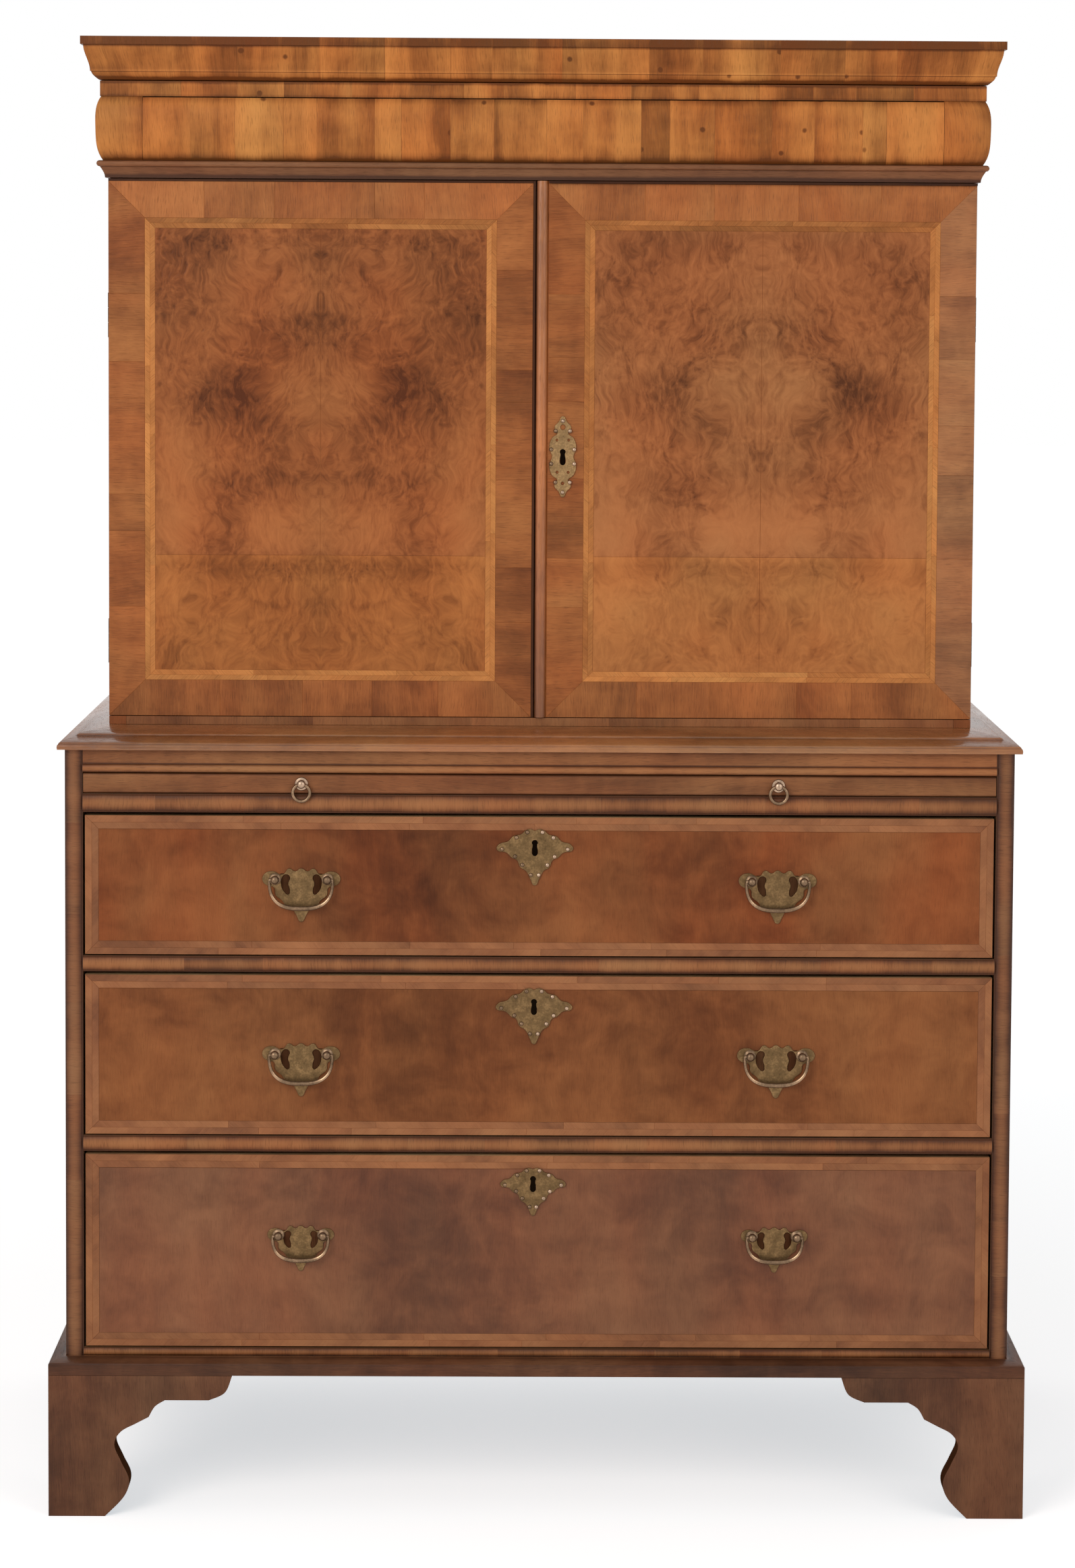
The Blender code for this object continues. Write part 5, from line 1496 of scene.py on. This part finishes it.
def make_escutcheon(node, body, place, half, lobes, holes, finish, sizes):
    """An escutcheon plate with pips on the lobes of its edge, over a dark sheet painted as the shadow in its keyhole.
    """
    shape = Shape(node)
    seat = place + FORWARD * PROUD
    add_plate(shape, [full_outline(half), keyhole()] + [hole(*each) for each in holes], seat, finish)
    crests = [(half[lobe][0] * 0.86, half[lobe][1] * 0.88) for lobe in lobes]
    # The pips on the right and in the middle are bright brass, a painted highlight; those on the left are rubbed brass
    for sign, brass in ((1, "bright_brass"), (-1, "rubbed_brass")):
        spots = [(sign * u, v) for u, v in crests if u or sign > 0]
        pips(shape, spots, seat + FORWARD * 0.0010, sizes.pip, shape.leaf(brass, UP, FORWARD))
    # A dark sheet in the keyhole, painted as the shade inside the hole
    keyhole_shadow = shape.leaf("keyhole_dark", UP, FORWARD)
    shape.prism([place + Vector((u, -0.0004, v)) for u, v in keyhole(1.25)], 0.0006, keyhole_shadow, SHADOW_SHEET_EASE)
    shape.piece(node + "_pierced", body, "antique_brass", node, turned=PLATE_ANGLE)


def make_handle(drawer, side, share):
    """A bail handle: a pierced plate with turned posts, and the bail."""
    node = f"drawer_{drawer}_backplate_{side}"
    low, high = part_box(node)
    axis = Vector(((low.x + high.x) / 2, high.y - 0.0082, high.z - 0.012 * share))
    shape = Shape(node)
    wide, rise, fall = 0.043 * share, 0.012 * share, 0.048 * share
    half = [(u * wide, v * (rise if v > 0 else fall)) for u, v in BAT_WING_HALF]
    outlines = [full_outline(half)]
    back = Vector((axis.x, high.y, axis.z))
    # Dark sheets in the sawn edge's colour under the wing piercings are painted shade, where the drawer front lies in
    # the plate's shadow
    painted_shadow = shape.leaf("sawn_edge", UP, FORWARD)
    for sign in (-1, 1):
        outlines.append([(sign * u * wide, v * wide) for u, v in WING_HOLE])
        field = [(sign * u * wide, v * wide) for u, v in WING_FIELD[::sign]]
        shape.prism([back + Vector((u, -SKIN, v)) for u, v in field], 0.0004, painted_shadow, SHADOW_SHEET_EASE)
    add_plate(shape, outlines, back, "worn_brass")
    post = 0.029 * share
    turned = [(0.0060, 0.0008), (0.0066, 0.0018), (0.0056, 0.0028), (0.0036, 0.0034), (0.0034, 0.0046)]
    turned += [(0.0044, 0.0062), (0.0048, 0.0082), (0.0044, 0.0102), (0.0030, 0.0118), (0.0012, 0.0124)]
    brass = shape.leaf("rubbed_brass", UP, FORWARD)
    for sign in (-1, 1):
        shape.lathe(back + RIGHT * sign * post, FORWARD, turned, 20, brass)
    shape.piece(node + "_pierced", f"{drawer}_drawer", "antique_brass", node, turned=PLATE_ANGLE)
    shape = Shape(node + " bail")
    reach = post + 0.0062
    drop = 0.032 * share
    pin, wire, swell = post - 0.0046, 0.0018, 0.0008
    points, radii, worn = [axis + RIGHT * pin], [wire], [0.0]
    count, power = 40, 2 / 2.7
    for step in range(count + 1):
        angle = math.pi * step / count
        u = math.copysign(abs(math.cos(angle)) ** power, math.cos(angle)) * reach
        points.append(axis + Vector((u, 0.0, -drop * math.sin(angle) ** power)))
        radii.append(wire + swell * math.sin(angle) ** 2)
        # Painted highlights on the bail's lower corners
        worn.append(1.1 * abs(math.sin(2 * angle)) ** 6)
    brass = shape.leaf("rubbed_brass", UP, FORWARD)
    shape.tube(points + [axis - RIGHT * pin], radii + [wire], worn + [0.0], FORWARD, 12, brass)
    node = f"drawer_{drawer}_bail_{side}"
    shape.piece(node + "_wire", f"{drawer}_bail_{side}", "antique_brass", node)


class CABINET_OT_stage(bpy.types.Operator):
    """Pale floor, soft lamps, white surroundings and the camera"""

    bl_idname = "cabinet.stage"
    bl_label = "Stage"
    bl_options = {"REGISTER", "UNDO"}

    def execute(self, context):
        """Lays the floor, hangs the lamps and sets the camera."""
        settings = context.scene.cabinet_stage
        context.scene.view_settings.view_transform = "Standard"
        mesh = bpy.data.meshes.new("studio_floor")
        reach = 30.0
        corners = [(-reach, -reach, 0.0), (reach, -reach, 0.0), (reach, reach, 0.0), (-reach, reach, 0.0)]
        mesh.from_pydata(corners, [], [(0, 1, 2, 3)])
        mesh.materials.append(self.floor_look(settings))
        floor = bpy.data.objects.new("studio_floor", mesh)
        context.scene.collection.objects.link(floor)
        self.surroundings(context.scene, settings)
        for name, place, size, power in (
            ("key_lamp", (-2.3, -3.6, 2.5), 2.6, settings.key),
            ("fill_lamp", (2.6, -3.2, 2.0), 2.4, settings.fill),
        ):
            lamp = bpy.data.lights.new(name, "AREA")
            lamp.shape = "DISK"
            lamp.size = size
            lamp.energy = power
            holder = bpy.data.objects.new(name, lamp)
            holder.location = place
            aim = Vector((0.0, 0.0, 1.05)) - holder.location
            holder.rotation_euler = aim.to_track_quat("-Z", "Y").to_euler()
            context.scene.collection.objects.link(holder)
        lens = bpy.data.cameras.new("camera")
        lens.sensor_width = 36.0
        lens.lens = 83.62
        lens.shift_x = -0.0101
        lens.shift_y = -0.1637
        lens.clip_end = 200.0
        camera = bpy.data.objects.new("camera", lens)
        camera.location = (-0.0207, -4.27, 1.3618)
        turn = Matrix.Identity(3)
        for angle, axis in ((-0.480, "Z"), (90.0 - 3.597, "X"), (0.335, "Z")):
            turn = turn @ Matrix.Rotation(math.radians(angle), 3, axis)
        camera.rotation_euler = turn.to_euler()
        context.scene.collection.objects.link(camera)
        context.scene.camera = camera
        return {"FINISHED"}

    def seen(self, finish):
        """A value of 1 where a camera, glossy or transmitted ray looks."""
        rays = [finish.node("ShaderNodeLightPath", None, None, f"Is {kind} Ray")
                for kind in ("Camera", "Glossy", "Transmission")]
        return (rays[0] + rays[1] + rays[2]).held()

    def floor_look(self, settings):
        """A pale floor that keeps shadows, whitened where it is looked at, a little more out of the lamps' reach."""
        made = Finish("pale_floor")
        matt = made.node("ShaderNodeBsdfDiffuse", None, {"Color": (*settings.floor, 1.0)})
        place = made.node("ShaderNodeTexCoord", None, None, "Object")
        away = ((made.vector("LENGTH", place, out="Value") - 1.0) * 0.6).held()
        whiter = (*(part + 0.095 for part in settings.veil), 1.0)
        veil = made.mixed(away, (*settings.veil, 1.0), whiter)
        white = made.node("ShaderNodeEmission", None, {"Color": veil, "Strength": 1.0})
        lifted = made.node("ShaderNodeAddShader", None, {0: matt, 1: white})
        both = made.node("ShaderNodeMixShader", None, {0: self.seen(made), 1: matt, 2: lifted})
        made.node("ShaderNodeOutputMaterial", None, {"Surface": both})
        return made.owner

    def surroundings(self, scene, settings):
        """Even light, seen as plain white."""
        scene.world = bpy.data.worlds.new("surroundings")
        made = Finish("surroundings", scene.world)
        even = made.node("ShaderNodeBackground", None, {"Strength": settings.ambient})
        white = made.node("ShaderNodeBackground", None, {"Color": (1.0, 1.0, 1.0, 1.0), "Strength": 1.0})
        both = made.node("ShaderNodeMixShader", None, {0: self.seen(made), 1: even, 2: white})
        made.node("ShaderNodeOutputWorld", None, {"Surface": both})


class CABINET_PT_pieces(bpy.types.Panel):
    """Lists the pieces and the settings"""

    bl_idname = "CABINET_PT_pieces"
    bl_label = "Cabinet on chest"
    bl_space_type = "VIEW_3D"
    bl_region_type = "UI"
    bl_category = "Cabinet"

    def draw(self, context):
        """Draws a button for each operator and a field for each setting."""
        for operator in OPERATORS:
            self.layout.operator(operator.bl_idname)
        for group in (context.scene.cabinet_sizes, context.scene.cabinet_colours, context.scene.cabinet_stage):
            column = self.layout.column()
            for key in group.__annotations__:
                column.prop(group, key)


GROUPS = {"cabinet_sizes": CabinetSizes, "cabinet_colours": CabinetColours, "cabinet_stage": StageSettings}
OPERATORS = (
    CABINET_OT_cornice,
    CABINET_OT_frieze_drawer,
    CABINET_OT_doors,
    CABINET_OT_cabinet_case,
    CABINET_OT_waist,
    CABINET_OT_chest_case,
    CABINET_OT_slide,
    CABINET_OT_drawers,
    CABINET_OT_base,
    CABINET_OT_brass,
    CABINET_OT_stage,
)
CLASSES = (*GROUPS.values(), *OPERATORS, CABINET_PT_pieces)


def register():
    """Registers the classes and the scene's settings."""
    for each in CLASSES:
        bpy.utils.register_class(each)
    for name, group in GROUPS.items():
        setattr(bpy.types.Scene, name, PointerProperty(type=group))


def unregister():
    """Takes the settings and the classes away."""
    for name in GROUPS:
        delattr(bpy.types.Scene, name)
    for each in reversed(CLASSES):
        bpy.utils.unregister_class(each)


def main():
    """Makes every piece and the stage."""
    register()
    for operator in OPERATORS:
        group, name = operator.bl_idname.split(".")
        getattr(getattr(bpy.ops, group), name)()


if __name__ == "__main__":
    main()
